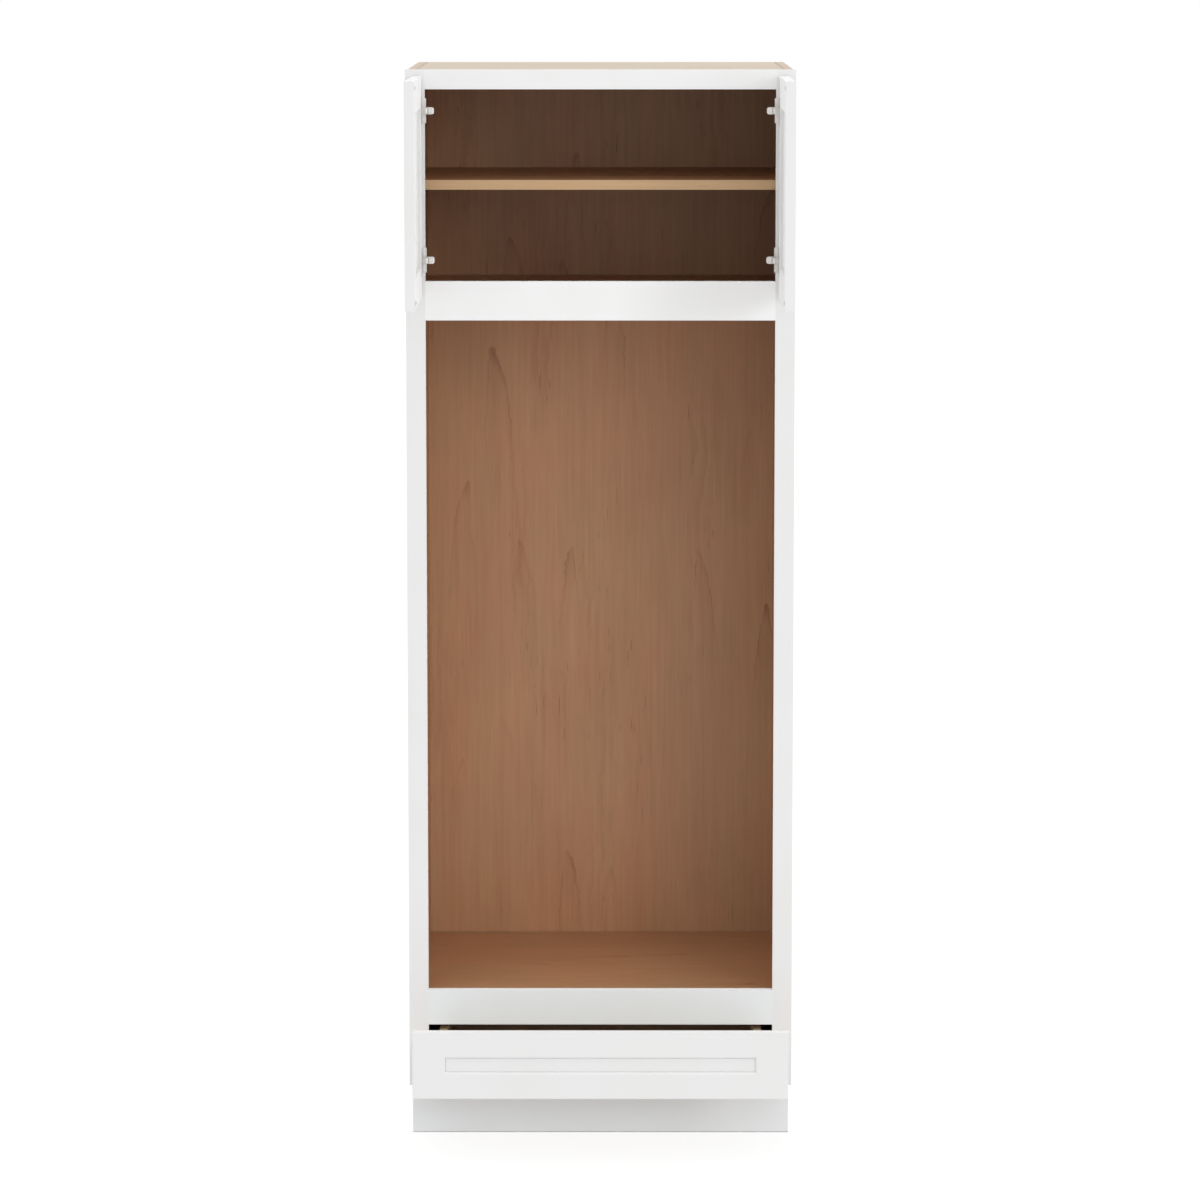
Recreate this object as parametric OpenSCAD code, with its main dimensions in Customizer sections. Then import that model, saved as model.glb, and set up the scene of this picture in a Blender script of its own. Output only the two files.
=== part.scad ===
// Tall double oven cabinet. A plywood carcass with a face frame holds an open
// oven bay, a pair of framed doors on cup hinges above it, and a dovetailed
// drawer on full extension slides below it.
// Millimetres. The origin is on the floor, at the middle of the width, in the
// plane of the wall behind the cabinet. The front looks along -Y and +Z is up.

/* [Cabinet] */
// Width across the face frame
cabinet_w = 762; // [686:1:914]
// Depth from the wall to the front of the face frame
cabinet_d = 609.6; // [530:0.1:700]
// How far the face frame stands out past each side panel
frame_overhang = 4.8; // [0:0.1:12]

/* [Heights from the floor up] */
// Height of the toe space
toe_h = 114.3; // [90:0.1:140]
// Bottom rail of the face frame
bottom_rail_h = 38.1; // [32:0.1:60]
// Drawer opening
drawer_opening_h = 85.7; // [80:0.1:180]
// Rail between the drawer and the ovens
lower_rail_h = 69.9; // [50:0.1:120]
// Oven opening
oven_opening_h = 1336.7; // [700:0.1:1500]
// Rail between the ovens and the doors
middle_rail_h = 76.2; // [64:0.1:120]
// Opening behind the doors
upper_opening_h = 374.6; // [320:0.1:760]
// Top rail of the face frame
top_rail_h = 38.1; // [32:0.1:76]

/* [Face frame] */
// Thickness of the stiles and rails
frame_t = 19; // [16:0.1:24]
// Width of the stiles
stile_w = 38.1; // [34:0.1:60]
// Length of the tenons on the rails
tenon_len = 12; // [6:0.1:20]
// Thickness of the tenons
tenon_t = 6.4; // [5:0.1:9]
// Shoulder above and below each tenon
tenon_shoulder = 8; // [5:0.1:10]

/* [Carcass] */
// Thickness of the side panels
side_t = 18; // [15:0.1:19]
// Thickness of the top, the decks and the bottom
deck_t = 18; // [15:0.1:20]
// Thickness of the back panel
back_t = 6.4; // [4:0.1:9]
// Depth of the grooves in the sides for the back, the upper deck and the bottom
groove_d = 6; // [4:0.1:8]
// Thickness of the wall nailers
nailer_t = 12.7; // [10:0.1:16]
// Height of each wall nailer
nailer_h = 95; // [60:1:110]
// Width of the cleats under the oven deck
cleat_w = 19; // [16:0.1:25]
// Height of the cleats under the oven deck
cleat_h = 38; // [25:0.1:40]
// How far the upper deck lies below the top of the middle rail
upper_deck_drop = 26.7; // [0:0.1:40]

/* [Toe kick] */
// How far the toe kick lies behind the front of the face frame
toe_recess = 76.2; // [60:0.1:100]
// Thickness of the toe kick skin
toe_skin_t = 6.4; // [4:0.1:12]
// How far the skin stops short of each end of the face frame
toe_skin_inset = 3.2; // [0:0.1:4]
// Thickness of the toe rail behind the skin
toe_rail_t = 18; // [15:0.1:20]

/* [Shelf] */
// Thickness of the shelf
shelf_t = 19; // [16:0.1:25]
// Thickness of the band on the front edge of the shelf
shelf_band_t = 1; // [0.5:0.1:3]
// How far up the room left by the shelf it lies, as a share
shelf_share = 0.5082; // [0.35:0.0001:0.6]
// How far the shelf lies behind the face frame
shelf_setback = 14; // [5:0.1:40]
// Gap at each end of the shelf
shelf_end_gap = 1.5; // [1.3:0.1:3]
// Gap between the shelf and the back panel
shelf_back_gap = 0.9; // [0.3:0.1:5]
// Radius of the holes for the shelf pins
pin_hole_r = 2.5; // [2:0.05:3.2]
// Depth of the holes for the shelf pins
pin_hole_d = 12; // [10:0.1:14]
// Rows of shelf pin holes in each column
pin_rows = 5; // [1:2:9]
// Height from one row of holes to the next
pin_pitch = 32; // [20:0.1:40]
// Distance from the front and the back of the shelf to the columns of holes
pin_inset = 40; // [25:0.1:90]

/* [Doors] */
// Thickness of the doors and of the drawer front
door_t = 19; // [18:0.1:22]
// How far a door laps over the stile
door_lap_side = 25.4; // [22:0.1:27]
// How far a door laps over the top rail
door_lap_top = 25.4; // [15:0.1:30]
// How far a door laps over the middle rail
door_lap_bottom = 31.7; // [15:0.1:40]
// Gap between the two doors
door_gap = 3; // [2:0.1:6]
// Gap between a shut door and the face frame
bumper_gap = 3.2; // [3:0.1:4]
// Width of the stiles and rails of a door
door_member_w = 60.3; // [54:0.1:80]
// Angle at which the doors stand open
door_open = 90; // [0:1:105]

/* [Framed panels] */
// Width of the slope along the inner edge of a stile or rail
slope_w = 3.6; // [2:0.1:8]
// Depth of the slope
slope_d = 3.8; // [2:0.1:5.5]
// Depth of the panel behind the front of its frame
panel_recess = 6.3; // [5.6:0.1:7]
// Thickness of the panel
panel_t = 6.4; // [5:0.1:7]
// Depth of the groove that holds the panel
panel_groove = 8; // [7:0.1:10]
// Room left for the panel at the bottom of its groove
panel_play = 0.8; // [0.3:0.1:2]
// Width of the fine line cut in the panel all round, where it meets its frame
line_w = 1.2; // [0.6:0.1:2]
// Depth of the fine line
line_d = 1; // [0.5:0.1:1.5]
// Radius of the outer front edges
edge_r = 1.5; // [0.5:0.1:3]

/* [Hinges] */
// Distance from the end of the opening to the middle of the hinge
hinge_end = 41.7; // [36:0.1:90]
// Diameter of the hinge cup
cup_dia = 35; // [34:0.1:36]
// Wall of the hinge cup
cup_wall = 0.8; // [0.6:0.1:1.2]
// Wood left between the hinge cup and the edge of the door
cup_edge = 3; // [2.6:0.1:3.4]
// Distance from the rim of the cup to the hinge pin
pin_from_rim = 5.5; // [5.4:0.1:5.8]
// Least gap between the turning edge of the door and the face frame
swing_gap = 0.26; // [0.2:0.01:0.6]
// Thickness of the flange round the cup
flange_t = 1; // [0.8:0.1:1.2]
// Height of the flange from tip to tip
flange_h = 56; // [54:0.1:64]
// Radius of the hinge pin
hinge_pin_r = 1.2; // [1:0.05:1.4]
// Radius of the eye of the hinge arm
eye_r = 2.1; // [1.9:0.05:2.4]
// Thickness of the leaf of the hinge arm
leaf_t = 2.4; // [1.6:0.1:2.6]
// Height of the leaf of the hinge arm
leaf_h = 10; // [8:0.1:10.4]
// Height of the body of the hinge arm
arm_h = 13.7; // [12:0.1:18]
// Height of the plate on the face frame
plate_h = 49; // [44:0.1:60]
// Thickness of the plate
plate_t = 3; // [2.4:0.1:3.2]
// Depth of the plate along the edge of the stile
plate_d = 17; // [14:0.1:17]
// Thickness of the lip of the plate on the front of the stile
lip_t = 1.2; // [0.8:0.1:1.4]
// Width of the lip
lip_w = 1.8; // [1:0.1:3]

/* [Drawer front] */
// How far the drawer front laps over the stiles
front_lap_side = 25.4; // [15:0.1:30]
// How far the drawer front laps over the rail above it
front_lap_top = 25.4; // [20:0.1:26]
// How far the drawer front laps over the rail below it
front_lap_bottom = 22.2; // [12:0.1:30]
// Width of the stiles of the drawer front
front_stile_w = 64; // [50:0.1:90]
// Width of the rails of the drawer front
front_rail_w = 52.4; // [52:0.1:57]

/* [Drawer box] */
// How far the drawer stands open
drawer_out = 168; // [0:1:500]
// Thickness of the sides, the front and the back of the box
box_t = 16; // [12:0.1:19]
// Gap between the box and each stile of the face frame
box_side_gap = 21.9; // [5:0.1:40]
// Gap between the top of the box and the top of its opening
box_top_gap = 12.7; // [6:0.1:20]
// Thickness of the bottom of the box
box_bottom_t = 6.4; // [4:0.1:9]
// Height of the bottom above the lower edge of the box
box_bottom_up = 12.7; // [11:0.1:15]
// Depth of the grooves for the bottom of the box
box_groove = 6; // [4:0.1:8]
// Height of one dovetail
tail_pitch = 20; // [14:0.1:30]
// Width of a dovetail pin at its narrow face
tail_pin_w = 5; // [4:0.1:6]
// Slope of the dovetails
tail_angle = 8; // [5:0.5:12]

/* [Drawer slides] */
// Step between the lengths that the slides come in
slide_step = 76.2; // [50:0.1:80]
// Width of the outer members
slide_w = 36; // [30:0.1:44]
// Height from the bottom panel to the bottom of the drawer
slide_h = 26.3; // [25:0.1:32]
// Height of the flanges of the outer members
slide_flange_h = 11; // [8:0.1:11.5]
// Sheet thickness of the members
slide_t = 1.5; // [1.2:0.1:2]
// Running gap between the members
slide_gap = 0.4; // [0.3:0.05:0.6]
// Gap between a slide and the side of the box
slide_side_gap = 4; // [1:0.1:10]

/* [Hidden] */

// Colours
white_paint = [0.92, 0.92, 0.91];
maple = [0.84, 0.69, 0.50];
veneer = [0.73, 0.55, 0.40];
nickel = [0.78, 0.77, 0.74];
zinc = [0.70, 0.72, 0.74];
grey_plastic = [0.45, 0.46, 0.48];
clear_rubber = [0.88, 0.89, 0.90];

// How far a cutting shape reaches past what it cuts
past = 1;
// Sides of a small round piece
round_fn = 40;

// Places across the width
half_w = cabinet_w / 2;
side_out = half_w - frame_overhang;
side_in = side_out - side_t;
open_half = half_w - stile_w;

// Places through the depth
front_y = -cabinet_d;
frame_back_y = front_y + frame_t;
back_face_y = -(nailer_t + back_t);

// Places up the height
drawer_z = toe_h + bottom_rail_h;
lower_rail_z = drawer_z + drawer_opening_h;
oven_z = lower_rail_z + lower_rail_h;
middle_rail_z = oven_z + oven_opening_h;
upper_z = middle_rail_z + middle_rail_h;
top_rail_z = upper_z + upper_opening_h;
cabinet_h = top_rail_z + top_rail_h;
upper_deck_z = upper_z - upper_deck_drop;
toe_rail_h = drawer_z - deck_t;
toe_skin_y = front_y + toe_recess;
toe_rail_y = toe_skin_y + toe_skin_t;
middle_nailer_z = upper_deck_z - deck_t / 2 - nailer_h / 2;

// Bottom and top of each rail of the face frame
bottom_rail = [toe_h, drawer_z];
lower_rail = [lower_rail_z, oven_z];
middle_rail = [middle_rail_z, upper_z];
top_rail = [top_rail_z, cabinet_h];
mortise_play = 1;

// Shelf and its pins
shelf_z = upper_deck_z + shelf_share * (cabinet_h - deck_t - upper_deck_z - shelf_t);
shelf_front_y = frame_back_y + shelf_setback;
shelf_core_y = shelf_front_y + shelf_band_t;
shelf_back_y = back_face_y - shelf_back_gap;
shelf_half = side_in - shelf_end_gap;
pin_fit = 0.05;
pin_collar_r = 4;
pin_collar_t = 1.2;
pin_lug_len = 9;
pin_lug_w = 6;
pin_lug_up = 3.2;
pin_lug_r = 3.8;
pin_short = 1;
pin_z = shelf_z - pin_lug_up;
pin_columns_y = [shelf_front_y + pin_inset, shelf_back_y - pin_inset];

// Doors, shut
door_edge_x = open_half + door_lap_side;
door_w = door_edge_x - door_gap / 2;
door_h = upper_opening_h + door_lap_top + door_lap_bottom;
door_z = upper_z - door_lap_bottom;
door_back_y = front_y - bumper_gap;
door_front_y = door_back_y - door_t;

// Hinges. The pin stands just far enough ahead of the frame for the corner of
// the door to turn past it with the swing gap to spare.
cup_r = cup_dia / 2;
cup_in_r = cup_r - cup_wall;
pin_from_edge = cup_edge + pin_from_rim;
pin_ahead = (pow(pin_from_edge, 2) + pow(bumper_gap, 2) - pow(swing_gap, 2)) / (2 * (bumper_gap - swing_gap));
hinge_x = door_edge_x - pin_from_edge;
hinge_y = front_y - pin_ahead;
cup_x = door_edge_x - cup_edge - cup_r;
cup_floor_gap = 0.35;
cup_d = pin_ahead - bumper_gap + eye_r + cup_floor_gap + cup_wall;
cup_fit = 0.1;
cup_round = 2;
hinge_zs = [upper_z + hinge_end, top_rail_z - hinge_end];
cheek_gap = 0.4;
cheek_t = 4.2;
cheek_in = leaf_h / 2 + cheek_gap;
cheek_out = cheek_in + cheek_t;
cheek_back = 6;
cheek_below_pin = 2.3;
rim_relief_d = 6;
rim_relief_from_pin = 1;
pin_running_fit = 0.05;
pin_press_fit = 0.02;
flange_wing_w = 13;
flange_wing_r = 6;
flange_rim = 1;
wing_screw_from_tip = 5.5;
screw_fit = 0.05;
cup_screw_r = 1.75;
cup_screw_head_r = 3.2;
cup_screw_len = 12;
plate_screw_r = 1.8;
plate_screw_head_r = 3.4;
plate_screw_head_t = 1.5;
plate_screw_len = 18;
plate_screw_from_end = 8;
plate_corner_r = 2.5;
leaf_wall_gap = 3.5;
leaf_x = cup_x - cup_in_r + leaf_wall_gap + leaf_t / 2;
bend_r = 5;
arm_front = 1.5;
arm_back = 14;
arm_nose = 10.4;
arm_nose_r = 3;
arm_round = 5;
arm_nose_x = leaf_x - leaf_t / 2 - arm_nose;
arm_body_x = open_half - plate_t;
leaf_root = 4;

// Bumpers
bumper_r = 4.7;
bumper_clear = 0.3;
bumper_h = bumper_gap - bumper_clear;
bumper_in = 12.7;

// Drawer front, shut
front_w = 2 * (open_half + front_lap_side);
front_h = drawer_opening_h + front_lap_top + front_lap_bottom;
front_z = drawer_z - front_lap_bottom;

// The longest slide that leaves room for its rear bracket. The box is as long.
bracket_min_len = 8;
slide_front_gap = 0.3;
slide_front_y = frame_back_y + slide_front_gap;
slide_len = slide_step * floor((back_face_y - bracket_min_len - slide_front_y) / slide_step);
slide_back_y = slide_front_y + slide_len;

// Drawer box, shut
box_half = open_half - box_side_gap;
box_in_half = box_half - box_t;
box_front_y = door_back_y;
box_back_y = box_front_y + slide_len;
box_floor_z = drawer_z + slide_h;
box_z = box_floor_z - box_bottom_up;
box_h = lower_rail_z - box_top_gap - box_z;
tails = max(1, round(box_h / tail_pitch));
tail_h = box_h / tails;
tail_flare = box_t * tan(tail_angle);
notch_side_gap = 1.5;

// Screws through the front of the box into the rails of the drawer front
front_screw_r = 1.75;
front_screw_len = 12;
front_screw_head_r = 3.5;
front_screw_head_t = 2;
front_screw_in = 95;
front_screw_from_top = 4;
front_screw_zs = [box_z + box_bottom_up / 2, box_z + box_h - front_screw_from_top];

// Drawer slides
slide_x = box_in_half - slide_side_gap - slide_w / 2;
middle_w = slide_w - 2 * slide_t - 2 * slide_gap;
middle_h = slide_h - 2 * slide_t - 2 * slide_gap;
middle_short = 12;
middle_len = slide_len - middle_short;
middle_front_gap = 4;
middle_front_y = slide_front_y + middle_front_gap;
middle_corner_r = 2.5;
middle_slot_h = 9;
runner_end_gap = 1.5;
runner_front_y = box_front_y + box_t + runner_end_gap;
runner_back_y = box_back_y - runner_end_gap;
bracket_h = 20;
bracket_wall = 2.5;
clip_len = 46;
clip_w = 34;
clip_gap = 0.3;
clip_h = 11.5;
clip_lever_len = 16;
clip_lever_t = 4;
clip_lever_w = 17;
clip_corner_r = 3;

// Shared shapes

module handed(side) {
    if (side < 0) mirror([1, 0, 0]) children();
    else children();
}

// A rectangle about the origin with round corners
module rounded_rect(w, h, r) {
    square([w - 2 * r, h], center = true);
    square([w, h - 2 * r], center = true);
    for (sx = [-1, 1], sy = [-1, 1])
        translate([sx * (w / 2 - r), sy * (h / 2 - r)]) circle(r = r, $fn = round_fn);
}

// A board between two corners
module board(low, high) {
    translate(low) cube(high - low);
}

// What rounds off a front edge that runs up from z = 0 along the corner x = 0, y = 0
module edge_cutter(len) {
    difference() {
        translate([-past, -past, -past]) cube([edge_r + past, edge_r + past, len + 2 * past]);
        translate([edge_r, edge_r, -2 * past]) cylinder(r = edge_r, h = len + 4 * past, $fn = round_fn);
    }
}

// Rounds the four outer front edges of a framed panel, w wide and h high
module soften(w, h) {
    difference() {
        children();
        edge_cutter(h);
        translate([w, 0, 0]) mirror([1, 0, 0]) edge_cutter(h);
        translate([w, 0, 0]) rotate([0, -90, 0]) edge_cutter(w);
        translate([0, 0, h]) rotate([0, 90, 0]) edge_cutter(w);
    }
}

// Section of a stile or rail: width along x, front face at y = 0, slope and
// panel groove on the far edge
module member_section(w) {
    polygon([
        [0, 0],
        [w - slope_w, 0],
        [w, slope_d],
        [w, panel_recess],
        [w - panel_groove, panel_recess],
        [w - panel_groove, panel_recess + panel_t],
        [w, panel_recess + panel_t],
        [w, door_t],
        [0, door_t]
    ]);
}

// The stiles run the full height
module framed_stile(w, h, member, side) {
    soften(w, h) {
        if (side < 0) linear_extrude(h) member_section(member);
        else translate([w, 0, 0]) mirror([1, 0, 0]) linear_extrude(h) member_section(member);
    }
}

// The rails have a stub tenon in the groove of each stile, and their ends are
// cut to fit over its slope
module framed_rail(w, h, member, stile, end) {
    reach = stile - panel_groove;
    soften(w, h) difference() {
        translate([w - reach, 0, end < 0 ? 0 : h]) mirror([0, 0, end < 0 ? 0 : 1]) rotate([0, -90, 0])
            linear_extrude(w - 2 * reach) member_section(member);
        linear_extrude(h) member_section(stile);
        translate([w, 0, 0]) mirror([1, 0, 0]) linear_extrude(h) member_section(stile);
    }
}

// The panel, with a fine line round the part of its front that shows
module framed_panel(w, h, member, stile) {
    side = stile - panel_groove + panel_play;
    end = member - panel_groove + panel_play;
    in = [line_w, past, line_w];
    low = [stile, panel_recess - past, member];
    high = [w - stile, panel_recess + line_d, h - member];
    difference() {
        board([side, panel_recess, end], [w - side, panel_recess + panel_t, h - end]);
        difference() {
            board(low, high);
            board(low + in - [0, 2 * past, 0], high - in + [0, 2 * past, 0]);
        }
    }
}

// Carcass

module side_panel(side) {
    color(veneer) handed(side) difference() {
        board([side_in, frame_back_y, 0], [side_out, 0, cabinet_h]);
        // toe notch
        board([side_in - past, frame_back_y - past, -past], [side_out + past, toe_rail_y, toe_h]);
        // groove for the back panel
        board([side_in - past, back_face_y, -past], [side_in + groove_d, -nailer_t, cabinet_h + past]);
        // grooves for the upper deck and the bottom
        for (z = [upper_deck_z, drawer_z])
            board([side_in - past, frame_back_y - past, z - deck_t], [side_in + groove_d, back_face_y, z]);
        // shelf pin holes
        for (y = pin_columns_y, row = [-(pin_rows - 1) / 2 : (pin_rows - 1) / 2])
            translate([side_in - past, y, pin_z + row * pin_pitch]) rotate([0, 90, 0])
                cylinder(r = pin_hole_r, h = pin_hole_d + past, $fn = round_fn);
    }
}

module top_panel() {
    color(maple) board([-side_in, frame_back_y, cabinet_h - deck_t], [side_in, back_face_y, cabinet_h]);
}

module upper_deck() {
    half = side_in + groove_d;
    color(veneer) board([-half, frame_back_y, upper_deck_z - deck_t], [half, back_face_y, upper_deck_z]);
}

module oven_deck() {
    color(veneer) board([-side_in, frame_back_y, oven_z - deck_t], [side_in, back_face_y, oven_z]);
}

module oven_deck_cleats() {
    top = oven_z - deck_t;
    color(maple) for (side = [-1, 1]) handed(side)
        board([side_in - cleat_w, frame_back_y, top - cleat_h], [side_in, back_face_y, top]);
}

module bottom_panel() {
    half = side_in + groove_d;
    color(veneer) board([-half, frame_back_y, drawer_z - deck_t], [half, back_face_y, drawer_z]);
}

module back_panel() {
    half = side_in + groove_d;
    color(veneer) board([-half, back_face_y, 0], [half, -nailer_t, cabinet_h]);
}

module wall_nailers() {
    color(maple) for (z = [0, middle_nailer_z, cabinet_h - nailer_h])
        board([-side_in, -nailer_t, z], [side_in, 0, z + nailer_h]);
}

module toe_rail() {
    color(maple) board([-side_in, toe_rail_y, 0], [side_in, toe_rail_y + toe_rail_t, toe_rail_h]);
}

module toe_kick_skin() {
    half = half_w - toe_skin_inset;
    color(white_paint) board([-half, toe_skin_y, 0], [half, toe_rail_y, toe_h]);
}

// Face frame

// The tenons at both ends of a rail, each longer by extra
module rail_tenons(rail, extra) {
    half = open_half + tenon_len + extra;
    low_y = front_y + (frame_t - tenon_t) / 2;
    board([-half, low_y, rail[0] + tenon_shoulder], [half, low_y + tenon_t, rail[1] - tenon_shoulder]);
}

module frame_stile(side) {
    color(white_paint) handed(side) difference() {
        board([open_half, front_y, toe_h], [half_w, frame_back_y, cabinet_h]);
        for (rail = [bottom_rail, lower_rail, middle_rail, top_rail]) rail_tenons(rail, mortise_play);
        at_hinges() plate_screw_places()
            cylinder(r = plate_screw_r + screw_fit, h = plate_screw_len + past, $fn = round_fn);
    }
}

module frame_rail(rail) {
    color(white_paint) {
        board([-open_half, front_y, rail[0]], [open_half, frame_back_y, rail[1]]);
        rail_tenons(rail, 0);
    }
}

// Shelf

module adjustable_shelf() {
    color(veneer) board([-shelf_half, shelf_core_y, shelf_z], [shelf_half, shelf_back_y, shelf_z + shelf_t]);
}

module shelf_edge_band() {
    color(maple)
        board([-shelf_half, shelf_front_y, shelf_z], [shelf_half, shelf_core_y, shelf_z + shelf_t]);
}

// A round bar along the x axis
module bar_x(r, low_x, high_x) {
    translate([low_x, 0, 0]) rotate([0, 90, 0]) cylinder(r = r, h = high_x - low_x, $fn = round_fn);
}

// One pin, with its hole's mouth at the origin and its lug along -x
module shelf_pin() {
    bar_x(pin_hole_r - pin_fit, 0, pin_hole_d - pin_short);
    bar_x(pin_collar_r, -pin_collar_t, 0);
    intersection() {
        bar_x(pin_lug_r, -pin_lug_len, 0);
        board([-pin_lug_len, -pin_lug_w / 2, -pin_lug_up - past], [0, pin_lug_w / 2, pin_lug_up]);
    }
}

module shelf_pins() {
    color(nickel) for (side = [-1, 1], y = pin_columns_y) handed(side)
        translate([side_in, y, pin_z]) shelf_pin();
}

// Hinges, on the right side and with the door shut

module at_hinges() {
    for (z = hinge_zs) translate([0, 0, z]) children();
}

// The two screw places of a hinge plate, with +z into the edge of the stile
module plate_screw_places() {
    for (end = [-1, 1])
        translate([open_half, front_y + plate_d / 2, end * (plate_h / 2 - plate_screw_from_end)])
            rotate([0, 90, 0]) children();
}

module hinge_plate() {
    difference() {
        union() {
            translate([open_half - plate_t, front_y + plate_d / 2 - lip_t / 2, 0]) rotate([90, 0, 90])
                linear_extrude(plate_t) rounded_rect(plate_d + lip_t, plate_h, plate_corner_r);
            board([open_half - plate_t / 2, front_y - lip_t, plate_corner_r - plate_h / 2],
                  [open_half + lip_w, front_y, plate_h / 2 - plate_corner_r]);
        }
        plate_screw_places() {
            translate([0, 0, -plate_t - past])
                cylinder(r = plate_screw_r + screw_fit, h = plate_t + 2 * past, $fn = round_fn);
            translate([0, 0, -plate_t - past])
                cylinder(r = plate_screw_head_r + screw_fit, h = plate_screw_head_t + past, $fn = round_fn);
        }
    }
}

module hinge_plates() {
    color(nickel) for (side = [-1, 1]) handed(side) at_hinges() hinge_plate();
}

module hinge_plate_screws() {
    color(zinc) for (side = [-1, 1]) handed(side) at_hinges()
        plate_screw_places() translate([0, 0, -plate_t]) {
            cylinder(r = plate_screw_head_r, h = plate_screw_head_t, $fn = round_fn);
            cylinder(r = plate_screw_r, h = plate_t + plate_screw_len, $fn = round_fn);
        }
}

// Outline of the leaf seen from above: up from the body, round a bend, and
// along to the eye at the pin
module leaf_outline() {
    bend_y = hinge_y + bend_r;
    translate([leaf_x - leaf_t / 2, bend_y]) square([leaf_t, front_y + leaf_root - bend_y]);
    intersection() {
        translate([leaf_x + bend_r, bend_y]) difference() {
            circle(r = bend_r + leaf_t / 2, $fn = round_fn);
            circle(r = bend_r - leaf_t / 2, $fn = round_fn);
        }
        translate([leaf_x - leaf_t, hinge_y - leaf_t]) square([bend_r + leaf_t, bend_r + leaf_t]);
    }
    translate([leaf_x + bend_r, hinge_y - leaf_t / 2]) square([hinge_x - leaf_x - bend_r, leaf_t]);
    translate([hinge_x, hinge_y]) circle(r = eye_r, $fn = round_fn);
}

// Outline of the body of the arm seen from above, with a round nose
module arm_outline() {
    depth = arm_front + arm_back;
    reach = arm_body_x - arm_nose_x;
    translate([arm_nose_x + reach / 2, front_y + arm_back - depth / 2]) {
        rounded_rect(reach, depth, arm_nose_r);
        translate([0, -depth / 2]) square([reach / 2, depth]);
    }
}

// The body of the arm. Seen from the front, its nose is round as well.
module arm_body() {
    reach = arm_body_x - arm_nose_x;
    intersection() {
        translate([0, 0, -arm_h / 2]) linear_extrude(arm_h) arm_outline();
        translate([arm_nose_x, front_y + arm_back + past, 0]) rotate([90, 0, 0])
            linear_extrude(arm_front + arm_back + 2 * past) translate([reach, 0])
                rounded_rect(2 * reach, arm_h, arm_round);
    }
}

module hinge_arm() {
    difference() {
        union() {
            arm_body();
            translate([0, 0, -leaf_h / 2]) linear_extrude(leaf_h) leaf_outline();
        }
        translate([hinge_x, hinge_y, -leaf_h])
            cylinder(r = hinge_pin_r + pin_running_fit, h = 2 * leaf_h, $fn = round_fn);
    }
}

module hinge_arms() {
    color(nickel) for (side = [-1, 1]) handed(side) at_hinges() hinge_arm();
}

// Half section of the cup wall: radius along x, depth into the door along y
module cup_section() {
    difference() {
        cup_solid_section(cup_r, cup_d, cup_round);
        translate([0, -past]) cup_solid_section(cup_in_r, cup_d - cup_wall + past, cup_round - cup_wall);
    }
}

module cup_solid_section(r, d, corner) {
    square([r, d - corner]);
    square([r - corner, d]);
    translate([r - corner, d - corner]) circle(r = corner, $fn = round_fn);
}

// The two screw places of a cup, with +z into the door
module cup_screw_places() {
    for (end = [-1, 1])
        translate([cup_x, door_back_y + flange_t, end * (flange_h / 2 - wing_screw_from_tip)])
            rotate([90, 0, 0]) children();
}

module flange_outline() {
    difference() {
        union() {
            circle(r = cup_r + flange_rim, $fn = 2 * round_fn);
            rounded_rect(flange_wing_w, flange_h, flange_wing_r);
        }
        circle(r = cup_in_r, $fn = 2 * round_fn);
    }
}

module hinge_cup() {
    floor_y = door_back_y - cup_d + cup_wall;
    difference() {
        union() {
            translate([cup_x, door_back_y, 0]) rotate([90, 0, 0])
                rotate_extrude($fn = 2 * round_fn) cup_section();
            translate([cup_x, door_back_y + flange_t, 0]) rotate([90, 0, 0]) linear_extrude(flange_t)
                flange_outline();
            // cheeks that hold the pin
            intersection() {
                translate([cup_x, door_back_y, 0]) rotate([90, 0, 0])
                    cylinder(r = cup_r - cup_wall / 2, h = cup_d - cup_wall / 2, $fn = 2 * round_fn);
                for (low_z = [-cheek_out, cheek_in])
                    board([hinge_x - cheek_back, floor_y - cup_wall / 2, low_z],
                          [door_edge_x, hinge_y + cheek_below_pin, low_z + cheek_t]);
            }
        }
        // room for the leaf where it passes the rim of the wide open door
        translate([hinge_x + rim_relief_from_pin, door_back_y - rim_relief_d, -cheek_in])
            cube([cup_r, rim_relief_d + flange_t + past, 2 * cheek_in]);
        translate([hinge_x, hinge_y, -cheek_out])
            cylinder(r = hinge_pin_r + pin_press_fit, h = 2 * cheek_out, $fn = round_fn);
        cup_screw_places() translate([0, 0, -past])
            cylinder(r = cup_screw_head_r + screw_fit, h = flange_t + 2 * past, $fn = round_fn);
    }
}

module hinge_pin() {
    translate([hinge_x, hinge_y, -cheek_out]) cylinder(r = hinge_pin_r, h = 2 * cheek_out, $fn = round_fn);
}

module cup_screw() {
    cylinder(r = cup_screw_head_r, h = flange_t, $fn = round_fn);
    cylinder(r = cup_screw_r, h = flange_t + cup_screw_len, $fn = round_fn);
}

// Doors. Each is drawn shut on the right, turned open about its hinge pins and,
// for the left door, mirrored.

module door_place(side) {
    handed(side) translate([hinge_x, hinge_y, 0]) rotate([0, 0, door_open]) translate([-hinge_x, -hinge_y, 0])
        children();
}

// The frame of a shut right door, with its lower free corner at the origin
module door_frame_place(side) {
    door_place(side) translate([door_gap / 2, door_front_y, door_z]) children();
}

module door_hinge_stile(side) {
    color(white_paint) door_place(side) difference() {
        translate([door_gap / 2, door_front_y, door_z]) framed_stile(door_w, door_h, door_member_w, 1);
        at_hinges() {
            translate([cup_x, door_back_y + past, 0]) rotate([90, 0, 0])
                cylinder(r = cup_r + cup_fit, h = cup_d + cup_fit + past, $fn = 2 * round_fn);
            cup_screw_places()
                cylinder(r = cup_screw_r + screw_fit, h = cup_screw_len + flange_t + past, $fn = round_fn);
        }
    }
}

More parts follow.
